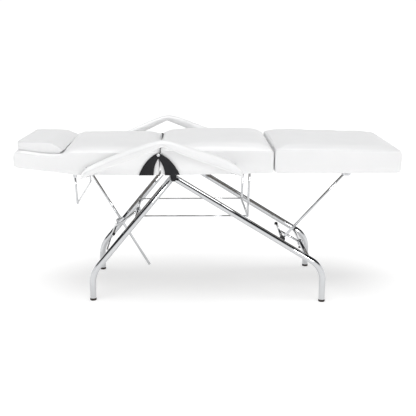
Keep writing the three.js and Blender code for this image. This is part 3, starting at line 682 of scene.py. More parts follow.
outer_face, RIVET_DOME = PLATE_Y + 2 * PLATE + 0.0006, 0.002
for side, s in SIDES:
    rivet = (PLATE_Y - 0.001, outer_face, RIVET_DOME)
    domed_pin(f"hinge_rivet_{side}", *HINGE, s, *rivet, zinc, [f"hinge_pin_{side}"])
    bolt = (0.215, outer_face, 2 * RIVET_DOME)
    domed_pin(f"leg_bolt_{side}", *PIVOT, s, *bolt, black_steel, [f"pivot_bolt_{side}"])
print("rivet heads end at", round((outer_face + RIVET_DOME) * 1000, 1), "mm")

# %% [markdown]
# ## Struts and bent bars
# A round strut props up the back rest from below on the left, and another props up the leg rest on the
# right. Each carries a cross pin at its upper end. A U-shaped bar drops from the seat to the legs, and a
# thinner one hangs under the head end to hold a paper roll.

# %% Struts
STRUT_Y = 0.146
STRUTS = {  # the upper pin, the free end, the radius and the side
    "backrest": ((-0.651, 0.635), (-0.310, 0.0565), 0.0070, 1),
    "legrest": ((0.688, 0.635), (0.371, 0.281), 0.0065, -1),
}
for part, (top, end, r, s) in STRUTS.items():
    shaft = bar([(end[0], s * STRUT_Y, end[1]), (top[0], s * STRUT_Y, top[1])], r, (0, 1, 0), 36, 0.0015)
    pin_ends = [(top[0], s * STRUT_Y + half, top[1]) for half in (-0.017, 0.017)]
    make(f"{part}_prop", combine(shaft, bar(pin_ends, 0.005, (0, 0, 1), 28)), chrome, [f"{part}_strut"])
    print(part, "strut is", round(math.dist(top, end) * 1000), "mm long")

# %% Seat strut and head rail
def u_shape(top, low, half_width, bend):
    """A flat U across the bed, and its plane's normal; top and low give x and z at its ends and middle."""
    corners = [(top[0], -half_width, top[1]), (low[0], -half_width, low[1]),
               (low[0], half_width, low[1]), (top[0], half_width, top[1])]
    path = bent_path(corners, [bend, bend], 14)
    return path, np.cross(path[0] - path[len(path) // 2], (0, 1, 0))


U_TOP, U_LOW, U_HALF = 0.203, (0.1935, 0.409), 0.201
top_z = float(seat_floor(U_TOP)) - 0.0003
drop, across = u_shape((U_TOP, top_z - 0.001), U_LOW, U_HALF, 0.014)
foot = [(0, 0), (0, 0.0155), (0.0006, 0.016), (0.0026, 0.016), (0.0034, 0.0152), (0.0042, 0.0085),
        (0.0060, 0.0064), (0.0062, 0)]
feet = [lathe((U_TOP, y, top_z), (0, 0, -1), foot, 40) for y in (-U_HALF, U_HALF)]
make("seat_u_bar", combine(bar(drop, 0.006, across), *feet), chrome, ["seat_strut"])

EYE, RAIL, RAIL_HALF = (-0.639, 0.642), (-0.632, 0.498), 0.270
hang, across = u_shape(EYE, RAIL, RAIL_HALF, 0.010)
hang[[0, -1], 2] -= 0.004  # the bar stops at the wall of its eye
eye = [(0, 0.0034), (0, 0.0064), (0.0006, 0.007), (0.0094, 0.007), (0.010, 0.0064), (0.010, 0.0034)]
eyes = [lathe((EYE[0], y - 0.005, EYE[1]), (0, 1, 0), eye, 36, loop=True) for y in (-RAIL_HALF, RAIL_HALF)]
make("paper_rail", combine(bar(hang, 0.005, across, 28), *eyes), chrome, ["head_rail"])
for side, s in SIDES:
    spacer = bar([(U_LOW[0], s * y, U_LOW[1]) for y in (0.208, 0.2602)], 0.004, (0, 0, 1), 24)
    make(f"spacer_{side}", spacer, zinc, [f"strut_spacer_{side}"])
leaf_pin = bar([(0.311, y, 0.658) for y in (-0.151, 0.151)], 0.0025, (0, 0, 1), 24)
make("leaf_pin", leaf_pin, zinc, ["legrest_hinge_pin"])
print("bent bars made")

# %% [markdown]
# ## Small fittings
# Brackets, clips, hinge leaves, swivel blocks and arm straps already have their true shape in the frame,
# but their edges are mathematically sharp. A merged copy of each gets a fine bevel, so light catches its
# edges as it does on folded steel and moulded plastic.

# %% Broken edges on the small fittings
def softened(node, look, bevel=0.0005):
    """A copy of a frame node with its doubled points merged and its sharp edges bevelled."""
    work = bmesh.new()
    work.from_mesh(frame["nodes"][node].data)
    bmesh.ops.remove_doubles(work, verts=work.verts, dist=2e-5)
    bmesh.ops.dissolve_limit(work, angle_limit=math.radians(1), verts=work.verts, edges=work.edges)
    bmesh.ops.recalc_face_normals(work, faces=work.faces)
    mesh = bpy.data.meshes.new(f"{node}_edged")
    work.to_mesh(mesh)
    work.free()
    piece = bpy.data.objects.new(f"{node}_edged", mesh)
    bpy.context.scene.collection.objects.link(piece)
    mesh.polygons.foreach_set("use_smooth", np.full(len(mesh.polygons), True))
    mesh.set_sharp_from_angle(angle=math.radians(35))
    edge = piece.modifiers.new("Broken edges", "BEVEL")
    edge.width, edge.segments, edge.limit_method, edge.angle_limit = bevel, 2, "ANGLE", math.radians(40)
    edge.use_clamp_overlap = True
    return place(piece, look, [node])


for side, s in SIDES:
    softened(f"armrest_frame_{side}", black_steel)
    softened(f"armrest_front_bracket_{side}", zinc)
    softened(f"armrest_rear_bracket_{side}", zinc)
    softened(f"rail_clip_{side}", zinc, 0.0003)
for part in ("backrest", "legrest"):
    softened(f"{part}_strut_bracket", zinc)
for leaf in ("legrest_hinge_seat_leaf", "legrest_hinge_leg_leaf"):
    softened(leaf, zinc, 0.0003)
softened("backrest_swivel_block", chrome, 0.001)
softened("legrest_swivel_block", black_plastic, 0.001)
for end in TEES:
    softened(f"{end}_clamp_screw", black_plastic, 0.0006)

# %% [markdown]
# ## A box of squares that becomes a cushion
# A cushion has a top, a bottom and four sides, and its sewn seam is the edge of the top. So it starts as
# a cube whose six faces are grids: every grid line keeps its number, and after any change of shape the
# seam is still the same row of points. A remeshed blob would be quicker, but would have no seam to sew
# along.

# %% The numbered cube
def box_grid(us, vs, ws):
    """Points, whole-number keys and outward quads of a box surface with the given stations on each axis."""
    stations = [np.asarray(s, float) for s in (us, vs, ws)]
    n = [len(s) - 1 for s in stations]
    quads = []
    for axis in range(3):
        b, c = (axis + 1) % 3, (axis + 2) % 3
        for end in (0, n[axis]):
            i, j = (g.ravel() for g in np.meshgrid(np.arange(n[b]), np.arange(n[c]), indexing="ij"))
            key = np.zeros((len(i), 4, 3), int)
            key[:, :, axis] = end
            key[:, :, b] = i[:, None] + np.array([0, 1, 1, 0])
            key[:, :, c] = j[:, None] + np.array([0, 0, 1, 1])
            quads.append(key if end else key[:, ::-1])
    keys, index = np.unique(np.concatenate(quads).reshape(-1, 3), axis=0, return_inverse=True)
    points = np.stack([stations[a][keys[:, a]] for a in range(3)], 1)
    return points, keys, index.reshape(-1, 4)


FINE = np.array([0, 0.0014, 0.0032, 0.006, 0.010, 0.016, 0.024, 0.033])


def stations(length, step=0.0095):
    """Distances from 0 to length, close together near both ends where the seams are."""
    middle = np.linspace(FINE[-1], length - FINE[-1], max(2, int(round((length - 2 * FINE[-1]) / step)) + 1))
    return np.concatenate([FINE[:-1], middle, length - FINE[-2::-1]])


def ring_of(keys, inset, level):
    """The indices of the loop of points that lies inset grid lines in from the edge at one height."""
    n = keys[:, :2].max(0) - inset
    i, j = np.arange(inset, n[0]), np.arange(inset, n[1])
    loop = np.concatenate([np.stack([i, np.full_like(i, inset)], 1), np.stack([np.full_like(j, n[0]), j], 1),
                           np.stack([i[::-1] + 1, np.full_like(i, n[1])], 1),
                           np.stack([np.full_like(j, inset), j[::-1] + 1], 1)])
    code = (keys[:, 0] * 10000 + keys[:, 1]) * 100 + keys[:, 2]  # one number for each point of the cube
    order = np.argsort(code)
    wanted = (loop[:, 0] * 10000 + loop[:, 1]) * 100 + level
    return order[np.searchsorted(code[order], wanted)]


def point_normals(points, quads):
    """The mean direction of the faces around each point, larger faces counting more."""
    a, b, c, d = (points[quads[:, i]] for i in range(4))
    face = np.cross(c - a, d - b)
    total = np.zeros_like(points)
    for i in range(4):
        np.add.at(total, quads[:, i], face)
    return unit(total)


print("a box grid of 2 x 2 x 2 has", len(box_grid([0, 1, 2], [0, 1, 2], [0, 1, 2])[0]), "points")

# %% [markdown]
# ## Letting the foam push
# The rules give each cushion its size and crown. The last few millimetres come from a cloth simulation:
# the skin is pinned underneath, blown up by pressure with gravity off, and no point may travel further
# than a cap that shrinks to almost nothing at the seam. That is how stuffing behaves under a sewn cover,
# and it puts in the soft unevenness that a formula lacks.

# %% Inflate a skin
PRESSURE, STEPS = 4.0, 20


def puff(points, quads, pinned, cap):
    """The points after the skin has been inflated, each moved by at most its cap."""
    skin = mesh_object("skin", points, quads)
    group = skin.vertex_groups.new(name="held")
    group.add(np.flatnonzero(pinned).tolist(), 1.0, "REPLACE")
    cloth = skin.modifiers.new("Cloth", "CLOTH")
    cloth.settings.use_pressure = True
    cloth.settings.uniform_pressure_force = PRESSURE
    cloth.settings.effector_weights.gravity = 0.0
    cloth.settings.vertex_group_mass = "held"
    cloth.settings.quality = 4
    scene = bpy.context.scene
    for step in range(1, STEPS + 1):
        scene.frame_set(step)
    blown = skin.evaluated_get(bpy.context.evaluated_depsgraph_get())
    moved = np.empty(len(points) * 3)
    blown.data.vertices.foreach_get("co", moved)
    bpy.data.objects.remove(skin)
    scene.frame_set(1)
    shift = moved.reshape(-1, 3) - points
    far = np.linalg.norm(shift, axis=1)
    return points + shift * np.minimum(1, cap / np.maximum(far, 1e-9))[:, None]


def ripples(points, size, count, seed):
    """A smooth uneven field from -1 to 1: the mean of sine waves in random directions, of about that size."""
    chance = np.random.default_rng(seed)
    way = unit(chance.normal(size=(count, 3))) * (2 * math.pi / size) * chance.uniform(0.6, 1.5, (count, 1))
    return np.sin(points @ way.T + chance.uniform(0, 2 * math.pi, count)).mean(1) * 1.8


def rounded_plan(x, y, a, b, r):
    """Corners of a rectangle of half sides a and b pulled in to quarter circles of radius r."""
    dx, dy = np.abs(x) - (a - r), np.abs(y) - (b - r)
    inside = (dx > 0) & (dy > 0)
    scale = np.where(inside, np.maximum(dx, dy) / np.maximum(np.hypot(dx, dy), 1e-9), 1.0)
    return (np.where(inside, np.sign(x) * (a - r + dx * scale), x),
            np.where(inside, np.sign(y) * (b - r + dy * scale), y))


def shoulder(distance, reach, power=2.4):
    """0 at an edge, rising steeply and then levelling off to 1 at the reach."""
    return 1 - (1 - np.clip(distance / reach, 0, 1)) ** power


def smooth_step(x, start, end):
    """0 before start, 1 after end, and 3t^2 - 2t^3 between."""
    t = np.clip((x - start) / (end - start), 0, 1)
    return t * t * (3 - 2 * t)


PUSH, SEAM_PUSH = 0.0055, 0.0008  # how far foam may push a cover out, and how far at its seam


def push_cap(edge, reach, share):
    """The cap on a point's travel: it grows from the seam's over a reach, to a share of the full push."""
    return SEAM_PUSH + PUSH * np.clip(edge / reach, 0, 1) * share


def seam_dip(edge, w):
    """The vinyl's dip beside the seam round the top."""
    return 0.0011 * np.exp(-((edge / 0.0022) ** 2)) * (w > 0.9)


def cover(name, points, quads, nodes):
    """A finished white cover: its squares are smoothed once."""
    piece = mesh_object(name, points, quads)
    smooth = piece.modifiers.new("Smooth", "SUBSURF")
    smooth.levels = smooth.render_levels = 1
    place(piece, white_vinyl, nodes)


print("inflating is", "on")

# %% [markdown]
# ## Seams
# Under the edge of each top the cover is sewn: a thin folded welt stands up from the seam, the vinyl dips
# beside it, and a row of stitches holds the fold a few millimetres in. The welt is a thin rope along the
# seam's own row of points. The stitches are hundreds of tiny rounded threads in one mesh with few faces
# each.

# %% Welts and stitches
def rope(path, normals, radius, sides=10, lift=0.0):
    """A closed rope along a closed path, whose circles stand in the plane of the normal and the side."""
    t = unit(np.roll(path, -1, 0) - np.roll(path, 1, 0))
    side = unit(np.cross(normals, t))
    up = np.cross(t, side)
    grid = rings(path + normals * lift, np.full(len(path), radius), side, up, sides)
    return ring_loop(grid)


def along(path, normals, pitch):
    """Points, directions and normals at equal steps along a closed path."""
    path, normals = np.concatenate([path, path[:1]]), np.concatenate([normals, normals[:1]])
    way = np.concatenate([[0], np.cumsum(np.linalg.norm(np.diff(path, axis=0), axis=1))])
    at = np.arange(pitch / 2, way[-1], pitch)

    def pick(v, where):
        return np.stack([np.interp(where, way, v[:, k]) for k in range(3)], 1)

    return pick(path, at), unit(pick(path, at + 0.001) - pick(path, at - 0.001)), unit(pick(normals, at))


PITCH_OF_STITCHES, STITCH, THREAD = 0.0062, 0.0042, 0.00042


def stitches(path, normals):
    """A row of short threads lying on the surface, each a six-sided spindle."""
    at, t, n = along(path, normals, PITCH_OF_STITCHES)
    side = np.cross(t, n)
    s = np.array([-0.5, -0.36, 0.36, 0.5]) * STITCH
    r = np.array([0.35, 1.0, 1.0, 0.35]) * THREAD
    a = np.linspace(0, 2 * math.pi, 6, endpoint=False)
    grid = (at[:, None, None] + t[:, None, None] * s[None, :, None, None]
            + side[:, None, None] * (r[:, None] * np.cos(a))[None, :, :, None]
            + n[:, None, None] * (r[:, None] * np.sin(a) + THREAD * 0.5)[None, :, :, None])
    one = ring_faces(4, 6).tolist() + [[5, 4, 3, 2, 1, 0], [18, 19, 20, 21, 22, 23]]
    shift = (np.arange(len(at)) * 24)[:, None]  # four rings of six points to a stitch
    faces = [(np.array(f)[None] + shift).tolist() for f in one]
    return grid.reshape(-1, 3), [f for group in faces for f in group]


print("a metre of seam takes", int(1 / PITCH_OF_STITCHES), "stitches")

# %% [markdown]
# ## The three cushions
# Each cushion is a firm block of foam on a board, with white vinyl drawn over it and round the board's
# edge. From the side it is almost a plain block with its lower edge rounded and its sides drawn in
# slightly at the seam. The top is crowned: it climbs quickly from the seam and then runs nearly level.
# Under the pillow the back rest's crown is pressed down.

# %% One rule for all three
WRAP = 0.0065  # the cover rolls this far under the board's edge
HALF = 0.300
UNDER, UNDER_IN = 0.010, 0.009  # how high the lower edge is rounded, and how far it goes in
BULGE, END_BULGE = 0.0031, 0.0092  # how far a side may stand out at a joint, and at the bed's two ends
JOINT_BACK, JOINT_LEG, GAP, END = -0.234, 0.311, 0.0035, 0.920  # GAP is half of the space at a joint
LAYERS = np.array([0, 0.018, 0.04, 0.07, 0.11, 0.17, 0.25, 0.34, 0.44,
                   0.54, 0.64, 0.73, 0.81, 0.88, 0.93, 0.965, 0.985, 1])


def climb(distance, tight, wide, share):
    """A tight shoulder for that share of the rise, and a wide crown for the rest."""
    return share * shoulder(distance, tight, 2.2) + (1 - share) * shoulder(distance, wide)


def cushion_rise(x, y, x0, x1, ends):
    """0 to 1 from the seam to the top of the crown; ends are the tight reaches at the head and foot ends."""
    along_bed = climb(x - x0, ends[0], 0.16, 0.6) * climb(x1 - x, ends[1], 0.16, 0.6)
    return along_bed * climb(HALF - np.abs(y), 0.034, 0.17, 0.5)


def cushion(x0, x1, floor, seam, crown, ends, seed):
    """A crowned cushion between x0 and x1; floor, seam and crown give heights along the bed."""
    box, keys, quads = box_grid(stations(x1 - x0) - (x1 - x0) / 2, stations(2 * HALF) - HALF, LAYERS)
    middle, a = (x0 + x1) / 2, (x1 - x0) / 2
    free_end = ((x0 == -END) & (box[:, 0] < 0)) | ((x1 == END) & (box[:, 0] > 0))
    dx, dy = a - np.abs(box[:, 0]), HALF - np.abs(box[:, 1])
    w, x = box[:, 2], box[:, 0] + middle
    low, high = floor(x) - WRAP, seam(x)
    above = (high - low) * w
    under = np.clip(1 - above / UNDER, 0, 1)
    inset = UNDER_IN * (1 - np.sqrt(1 - under**2)) + 0.0022 * (2 * w - 1) ** 2
    filled = (BULGE + 0.0045 * free_end) * (1 - (2 * w - 1) ** 4)
    px, py = rounded_plan(box[:, 0], box[:, 1], a, HALF, 0.008 + 0.014 * free_end)
    px, py = px * (a - inset + filled) / a, py * (HALF - inset) / HALF
    top, bottom = keys[:, 2] == len(LAYERS) - 1, keys[:, 2] == 0
    rise = cushion_rise(x, box[:, 1], x0, x1, ends)
    hidden = bottom * np.clip((np.minimum(dx, dy) - 0.024) / 0.004, 0, 1)
    z = low + above + top * crown(x, box[:, 1]) * rise + hidden * (WRAP + 0.007)
    points = np.stack([px + middle, py, z], 1)
    edge = np.where(top, np.minimum(dx, dy), (high - low) * (1 - w))
    points = puff(points, quads, bottom | (above < 0.012), push_cap(edge, 0.05, np.where(top, 1.0, 0.35)))
    skin = point_normals(points, quads)
    pucker = ripples(points * [1, 1, 0.35], 0.030, 14, seed) * 0.0007 * np.exp(-edge / 0.018)
    broad = ripples(points, 0.16, 10, seed + 1) * np.where(top, 0.0016, 0.0006) * np.clip(edge / 0.03, 0, 1)
    points = points + skin * ((pucker + broad) * ~bottom - seam_dip(edge, w))[:, None]
    points[:, 1] = np.clip(points[:, 1], -HALF - 0.0004, HALF + 0.0004)
    out = [END_BULGE if abs(x) == END else BULGE for x in (x0, x1)]
    points[:, 0] = np.clip(points[:, 0], x0 - out[0], x1 + out[1])
    return points, keys, quads


def sew(name, points, keys, quads, body, welt=0.0010):
    """The welt on the top's edge and the stitches just inside it."""
    skin, level = point_normals(points, quads), int(keys[:, 2].max())
    edge, row = ring_of(keys, 0, level), ring_of(keys, 3, level)
    # the welt is drawn in the darker seam vinyl, painted shade for the seam's crease
    make(f"{name}_welt", rope(points[edge], skin[edge], welt, lift=-0.0004), shaded_seam_vinyl, body=body)
    place(mesh_object(f"{name}_stitches", *stitches(points[row], skin[row])), thread, body=body)


def pressed(x):
    """1 where the pillow lies on the back rest, fading to 0 on the foot side of it."""
    return 1 - smooth_step(np.asarray(x, float), -0.705, -0.645)


def back_seam(x):
    """Level, and pressed down most under the foot of the pillow."""
    return 0.7590 - 0.0165 * pressed(x) * smooth_step(np.asarray(x, float), -0.920, -0.750)


def back_crown(x, y):
    """How far the back rest's top stands above its seam."""
    return 0.0230 - 0.0150 * pressed(x) - 0.003 * (y / HALF) ** 2


def seat_crown(x, y):
    """The same for the seat, which is fuller towards the leg rest."""
    return 0.0300 + 0.0050 * smooth_step(x, -0.23, 0.10) - 0.004 * (y / HALF) ** 2


def leg_crown(x, y):
    """The same for the leg rest, which is flatter towards its end."""
    return 0.0235 - 0.0100 * smooth_step(x, 0.33, 0.92) - 0.003 * (y / HALF) ** 2


def seat_seam(x):
    """Level."""
    return 0.7665 + 0 * x


def leg_seam(x):
    """Falling a little towards the end."""
    return 0.7720 - 0.0065 * (x - JOINT_LEG) / 0.609


SHAPES = {
    "backrest": (-END, JOINT_BACK - GAP, back_floor, back_seam, back_crown, (0.05, 0.040), 11),
    "seat": (JOINT_BACK + GAP, JOINT_LEG - GAP, seat_floor, seat_seam, seat_crown, (0.034, 0.03), 23),
    "legrest": (JOINT_LEG + GAP, END, leg_floor, leg_seam, leg_crown, (0.026, 0.045), 37),
}
for part, rule in SHAPES.items():
    points, keys, quads = cushion(*rule)
    cover(f"{part}_upholstery", points, quads, [f"{part}_cushion"])
    sew(part, points, keys, quads, BODY_OF[f"{part}_cushion"])
    print(part, "cushion tops out at", round(float(points[:, 2].max()), 4), "m with", len(quads), "squares")

# %% [markdown]
# Under each cushion is its plywood board. It is the same numbered cube with rounded corners, a little
# smaller than the cover that is drawn over its edge.

# %% Boards
BOARD_IN, BOARD, LIP = 0.0062, 0.012, 0.0006
for part, (x0, x1, floor, *_) in SHAPES.items():
    bend = [BACK_BEND] if part == "backrest" else []
    us = np.unique(np.concatenate([np.linspace(x0 + BOARD_IN, x1 - BOARD_IN, 40), bend]))
    half, middle, a = 0.2935, (x0 + x1) / 2, (x1 - x0) / 2 - BOARD_IN
    box, keys, quads = box_grid(us - middle, np.linspace(-half, half, 33), [0, 0.06, 0.94, 1])
    px, py = rounded_plan(box[:, 0], box[:, 1], a, half, 0.018)
    lip = np.where((keys[:, 2] == 0) | (keys[:, 2] == 3), LIP, 0)
    z = floor(px + middle) + BOARD * box[:, 2]
    points = np.stack([px * (a - lip) / a + middle, py * (half - lip) / half, z], 1)
    place(crease(mesh_object(f"{part}_ply", points, quads)), plywood, [f"{part}_board"])
low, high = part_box("seat_board")
print("boards are", round((high.z - low.z) * 1000, 1), "mm deep in all")

# %% [markdown]
# ## The head pillow
# A wedge of softer foam lies loose-looking on the head end: a nearly level top, a long slope towards the
# shoulders, and deep sides that wrinkle because the foam is soft. Its underside follows the pressed-down
# top of the back rest. Piping closes the foot of the slope.

# %% Pillow
P0, P_TOP, P1, P_HALF = -0.914, -0.745, -0.678, 0.266
shape = SHAPES["backrest"]


def bed_top(x, y):
    """The height of the back rest's skin by its own rule, without what the foam adds."""
    return back_seam(x) + back_crown(x, y) * cushion_rise(x, y, shape[0], shape[1], shape[5])


us = stations(P1 - P0, 0.0085)
ws = np.array([0, 0.03, 0.08, 0.15, 0.24, 0.34, 0.44, 0.54, 0.64, 0.74, 0.83, 0.90, 0.95, 0.98, 1])
box, keys, quads = box_grid(us + P0, stations(2 * P_HALF) - P_HALF, ws)
x, y, w = box.T
middle, a = (P0 + P1) / 2, (P1 - P0) / 2
dx, dy = a - np.abs(x - middle), P_HALF - np.abs(y)
top, bottom = keys[:, 2] == len(ws) - 1, keys[:, 2] == 0
roof_x, roof_z = [P0, P_TOP - 0.012, P_TOP + 0.004, P1], [0.7960, 0.7930, 0.7900, 0.7610]
roof = np.interp(x, roof_x, roof_z) - 0.009 * y / P_HALF
floor_z = bed_top(np.clip(x, P0 + 0.01, P1), np.clip(y, -0.280, 0.280)) + 0.0012
roof = np.maximum(roof, floor_z + 0.007)
depth = roof - floor_z
px, py = rounded_plan(x - middle, y, a, P_HALF, 0.026)
inset = 0.004 * (2 * w - 1) ** 2 + 0.006 * np.clip(1 - w / 0.2, 0, 1) ** 2
z = floor_z + depth * w + top * 0.0025 * shoulder(dx, 0.05) * shoulder(dy, 0.07)
skew = 0.010 * y / P_HALF * smooth_step(x, P_TOP - 0.02, P1)
points = np.stack([px * (a - inset) / a + middle + skew, py * (P_HALF - inset) / P_HALF, z], 1)
edge = np.where(top, np.minimum(dx, dy), depth * (1 - w))
points = puff(points, quads, bottom, push_cap(edge, 0.03, np.where(top, 0.5, 0.8)))
skin = point_normals(points, quads)
crumple = ripples(points * [1.0, 1.0, 0.45], 0.042, 16, 51) * np.where(top, 0.0012, 0.0019) * ~bottom
crumple = crumple * np.clip(edge / 0.010, 0.15, 1) - seam_dip(edge, w)
points = points + skin * crumple[:, None]
points[:, 2] = np.maximum(points[:, 2], bed_top(points[:, 0], np.clip(points[:, 1], -0.298, 0.298)) + 0.0008)
cover("pillow_cover", points, quads, ["head_pillow"])
sew("pillow", points, keys, quads, "backrest", 0.0016)
hem = ring_of(keys, 0, 2)
piping = rope(points[hem], point_normals(points, quads)[hem], 0.0020, lift=0.0006)
# the piping is drawn in the darker seam vinyl, painted shade along the pillow's hem
make("pillow_piping", piping, shaded_seam_vinyl, body="backrest")
print("pillow stands", round(float(points[:, 2].max()), 4), "m high")

# %% [markdown]
# ## Arm rests
# Seen from the side an arm rest is a shallow upside-down V, sharp underneath and round on top, and in
# plan it swings out beside the hinge. Its height at x is the smooth minimum of two straight runs, and its
# underside is the sharp one. The section is a rounded rectangle that narrows to a blunt tip at both ends.
# The strap and its tabs are the steel fittings made above, so the pad leaves a slot for them.

# %% Arm rest rules
APEX_X, APEX_Z = -0.214, 0.812
ARM_ENDS, ARM_HALF = (-0.602, 0.154), 0.027


def arm_offset(x):
    """How far the arm rest's middle is from the bed's middle."""
    return 0.335 + 0.095 * smooth_step(x, -0.555, -0.150) - 0.030 * smooth_step(x, -0.100, 0.090)


def arm_bottom(x):
    """The underside's height: two straight runs that meet in a sharp peak."""
    return APEX_Z - np.where(x < APEX_X, -0.44, 0.40) * (x - APEX_X)


def arm_top(x):
    """Two runs with a round crown where they meet, each a little fuller half way down."""
    rear, front = 0.945 + 0.44 * x, 0.766 - 0.417 * x
    fuller = 0.005 * np.exp(-(((x + 0.41) / 0.08) ** 2)) + 0.010 * np.exp(-(((x - 0.05) / 0.07) ** 2))
    return fuller - 0.023 * np.log(np.exp(-rear / 0.023) + np.exp(-front / 0.023))


def arm_tip(x, reach, least):
    """The share of the full size left at x: a quarter ellipse from the least share, over that reach."""
    t = np.clip(np.minimum(x - ARM_ENDS[0], ARM_ENDS[1] - x) / reach, 0, 1)
    return least + (1 - least) * np.sqrt(1 - (1 - t) ** 2)


def arm_height(x):
    """The pad's height at x."""
    return (arm_top(x) - arm_bottom(x)) * arm_tip(x, 0.046, 0.32)


def arm_seam(x):
    """The seam's height on the side as a share: a third down at the rear, low at the front."""
    return 0.64 - 0.46 * smooth_step(x, APEX_X - 0.03, APEX_X + 0.05)


print("arm rests rise to", round(float(arm_top(APEX_X)), 3), "m")

# %% Arm pads
half_vs = np.array([0, 0.15, 0.3, 0.45, 0.585, 0.62, 0.72, 0.84, 0.93, 1])
vs = np.concatenate([-half_vs[:0:-1], half_vs])
ws = np.array([0, 0.04, 0.09, 0.16, 0.26, 0.37, 0.48, 0.60, 0.71, 0.81, 0.89, 0.95, 1])
for side, s in SIDES:
    us = np.unique(np.concatenate([stations(ARM_ENDS[1] - ARM_ENDS[0], 0.008) + ARM_ENDS[0], [APEX_X]]))
    box, keys, quads = box_grid(us, vs, ws)
    x, v, w = box.T
    height, narrow = arm_height(x), arm_tip(x, 0.022, 0.72)
    a, b = np.full(len(x), ARM_HALF), height / 2
    across, up = rounded_plan(v * a, (2 * w - 1) * b, a, b, np.minimum(0.0115, 0.9 * b))
    strap = (keys[:, 2] == 0) & (np.abs(v) < 0.60) & (x > ARM_ENDS[0] + 0.013) & (x < ARM_ENDS[1] - 0.018)
    crown = (keys[:, 2] == len(ws) - 1) * 0.0025 * (1 - v**2)
    z = arm_bottom(x) + b + up + crown + strap * 0.0036
    y = s * arm_offset(x) + across * narrow * (1 - 0.06 * (w - 0.4) ** 2)
    points = np.stack([x, y, z], 1)
    away = np.abs(w - arm_seam(x)) * height
    cap = np.where(w > 0.02, 0.0007 + 0.0028 * np.clip(away / 0.012, 0, 1), 0)
    points = puff(points, quads, w < 0.10, cap)
    skin = point_normals(points, quads)
    sides = np.abs(v) > 0.99
    wrinkle = ripples(points * [1, 0.6, 1], 0.035, 14, 71 + s) * 0.0006
    wrinkle = wrinkle * (w > 0.12) * np.clip(away / 0.006, 0.2, 1)
    groove = -0.0009 * np.exp(-((away / 0.0025) ** 2)) * sides
    points = points + skin * (wrinkle + groove)[:, None]
    cover(f"arm_upholstery_{side}", points, quads, [f"armrest_pad_{side}"])

    skin_tree = BVHTree.FromPolygons([Vector(p) for p in points], quads.tolist())
    lines = []
    for out in (-1, 1):
        px = np.linspace(ARM_ENDS[0] + 0.020, ARM_ENDS[1] - 0.020, 150)
        pz = arm_bottom(px) + arm_height(px) * arm_seam(px)
        guess = np.stack([px, s * arm_offset(px) + out * (ARM_HALF + 0.004), pz], 1)
        hits = [skin_tree.find_nearest(Vector(p)) for p in guess]
        at, n = np.array([h[0] for h in hits]), np.array([h[1] for h in hits])
        lines.append(bar(at + n * 0.0001, 0.0009, (0, 1, 0), 10, 0.0004))
    # the seam lines are drawn in the darker seam vinyl, painted shade for the seam's groove
    make(f"arm_seam_{side}", combine(*lines), shaded_seam_vinyl, body=f"armrest_{side}")
    print("arm pad", side, "tops out at", round(float(points[:, 2].max()), 4), "m")

# %% [markdown]
# ## Floor, light and camera
# The room is a plain white floor that glows a little, as a light table does, so shadows stay faint and
# the horizon is lost. Chrome shows what is around it, so the surroundings matter more than the lamp: a
# bright band low down on all sides, a dark band above it, and a soft lamp overhead. On a round bar these
# become a bright lower half, a dark streak and a thin highlight, whichever side it is seen from. A weak
# lamp low in front puts a faint shadow beside each arm rest.

# %% Floor
FLOOR_HALF = 80.0
corners = [(FLOOR_HALF * a, FLOOR_HALF * b, 0) for a, b in ((-1, -1), (1, -1), (1, 1), (-1, 1))]
backdrop = mesh_object("backdrop", corners, [(0, 1, 2, 3)])
glow = {"Emission_Color": (1, 1, 1, 1), "Emission_Strength": 0.64}
paper = finish("backdrop_paper", "backdrop", (0.48, 0.48, 0.48), 0.9, Specular_IOR_Level=0.1, **glow)[0]
backdrop.data.materials.append(paper[0])
backdrop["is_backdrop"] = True
print("floor made", 2 * FLOOR_HALF, "m wide")


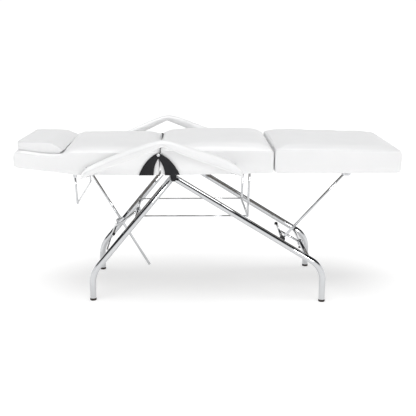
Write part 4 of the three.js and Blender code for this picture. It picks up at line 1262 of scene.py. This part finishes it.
# %% Light
def wide_sky(name, azimuth, elevation, spread, strength):
    """A sun with a very wide disc: an even soft light from one part of the sky."""
    lamp = bpy.data.lights.new(name, "SUN")
    lamp.energy, lamp.angle = strength, math.radians(spread)
    holder = bpy.data.objects.new(name, lamp)
    bpy.context.scene.collection.objects.link(holder)
    a, e = math.radians(azimuth), math.radians(elevation)
    source = Vector((math.sin(a) * math.cos(e), -math.cos(a) * math.cos(e), math.sin(e)))
    holder.rotation_euler = source.to_track_quat("Z", "Y").to_euler()


wide_sky("overhead_softbox", -30, 80, 52, 2.85)
wide_sky("front_softbox", 25, 10, 10, 0.42)

world = bpy.data.worlds.new("surroundings")
bpy.context.scene.world = world
world.use_nodes = True
tree = world.node_tree
upward = add(tree, "SeparateXYZ", Vector=add(tree, "TexCoord").outputs["Generated"]).outputs["Z"]
sky = add(tree, "ValToRGB", Fac=upward)
stops = sky.color_ramp.elements
stops[0].position, stops[0].color = 0.22, (1, 1, 1, 1)
stops[1].position, stops[1].color = 0.34, (0.03, 0.031, 0.034, 1)
feed(tree, tree.nodes["Background"], Color=sky.outputs["Color"], Strength=1.05)
bpy.context.scene.view_settings.view_transform = "Standard"
print("lights:", len(bpy.data.lights))

# %% [markdown]
# The camera stands well back on the patient's right, a little above the bed, and looks slightly down.

# %% Camera
CAMERA_AT = (-0.1111, -3.8858, 1.414)
PITCH, YAW, ROLL = (math.radians(d) for d in (14.4448, 1.7071, 0.2692))
ahead = np.array([math.sin(YAW) * math.cos(PITCH), math.cos(YAW) * math.cos(PITCH), -math.sin(PITCH)])
right = np.array([math.cos(YAW), -math.sin(YAW), 0.0])
above = np.cross(right, ahead)
tilted_right = math.cos(ROLL) * right + math.sin(ROLL) * above
tilted_up = -math.sin(ROLL) * right + math.cos(ROLL) * above
lens = bpy.data.cameras.new("camera")
lens.sensor_width, lens.lens = 36.0, 66.634615
camera = bpy.data.objects.new("camera", lens)
bpy.context.scene.collection.objects.link(camera)
turn = Matrix(np.stack([tilted_right, tilted_up, -ahead], 1).tolist()).to_4x4()
camera.matrix_world = Matrix.Translation(CAMERA_AT) @ turn
bpy.context.scene.camera = camera
print("lens", round(lens.lens, 1), "mm")

# %% [markdown]
# ## Finish
# The finished model is laid over the frame, so the sizes of both boxes are printed side by side.

# %% Sizes of the frame and the model
made_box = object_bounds()
for title, (low, high) in (("frame", cad_box), ("model", made_box)):
    print(title, [round(b - a, 3) for a, b in zip(low, high)])
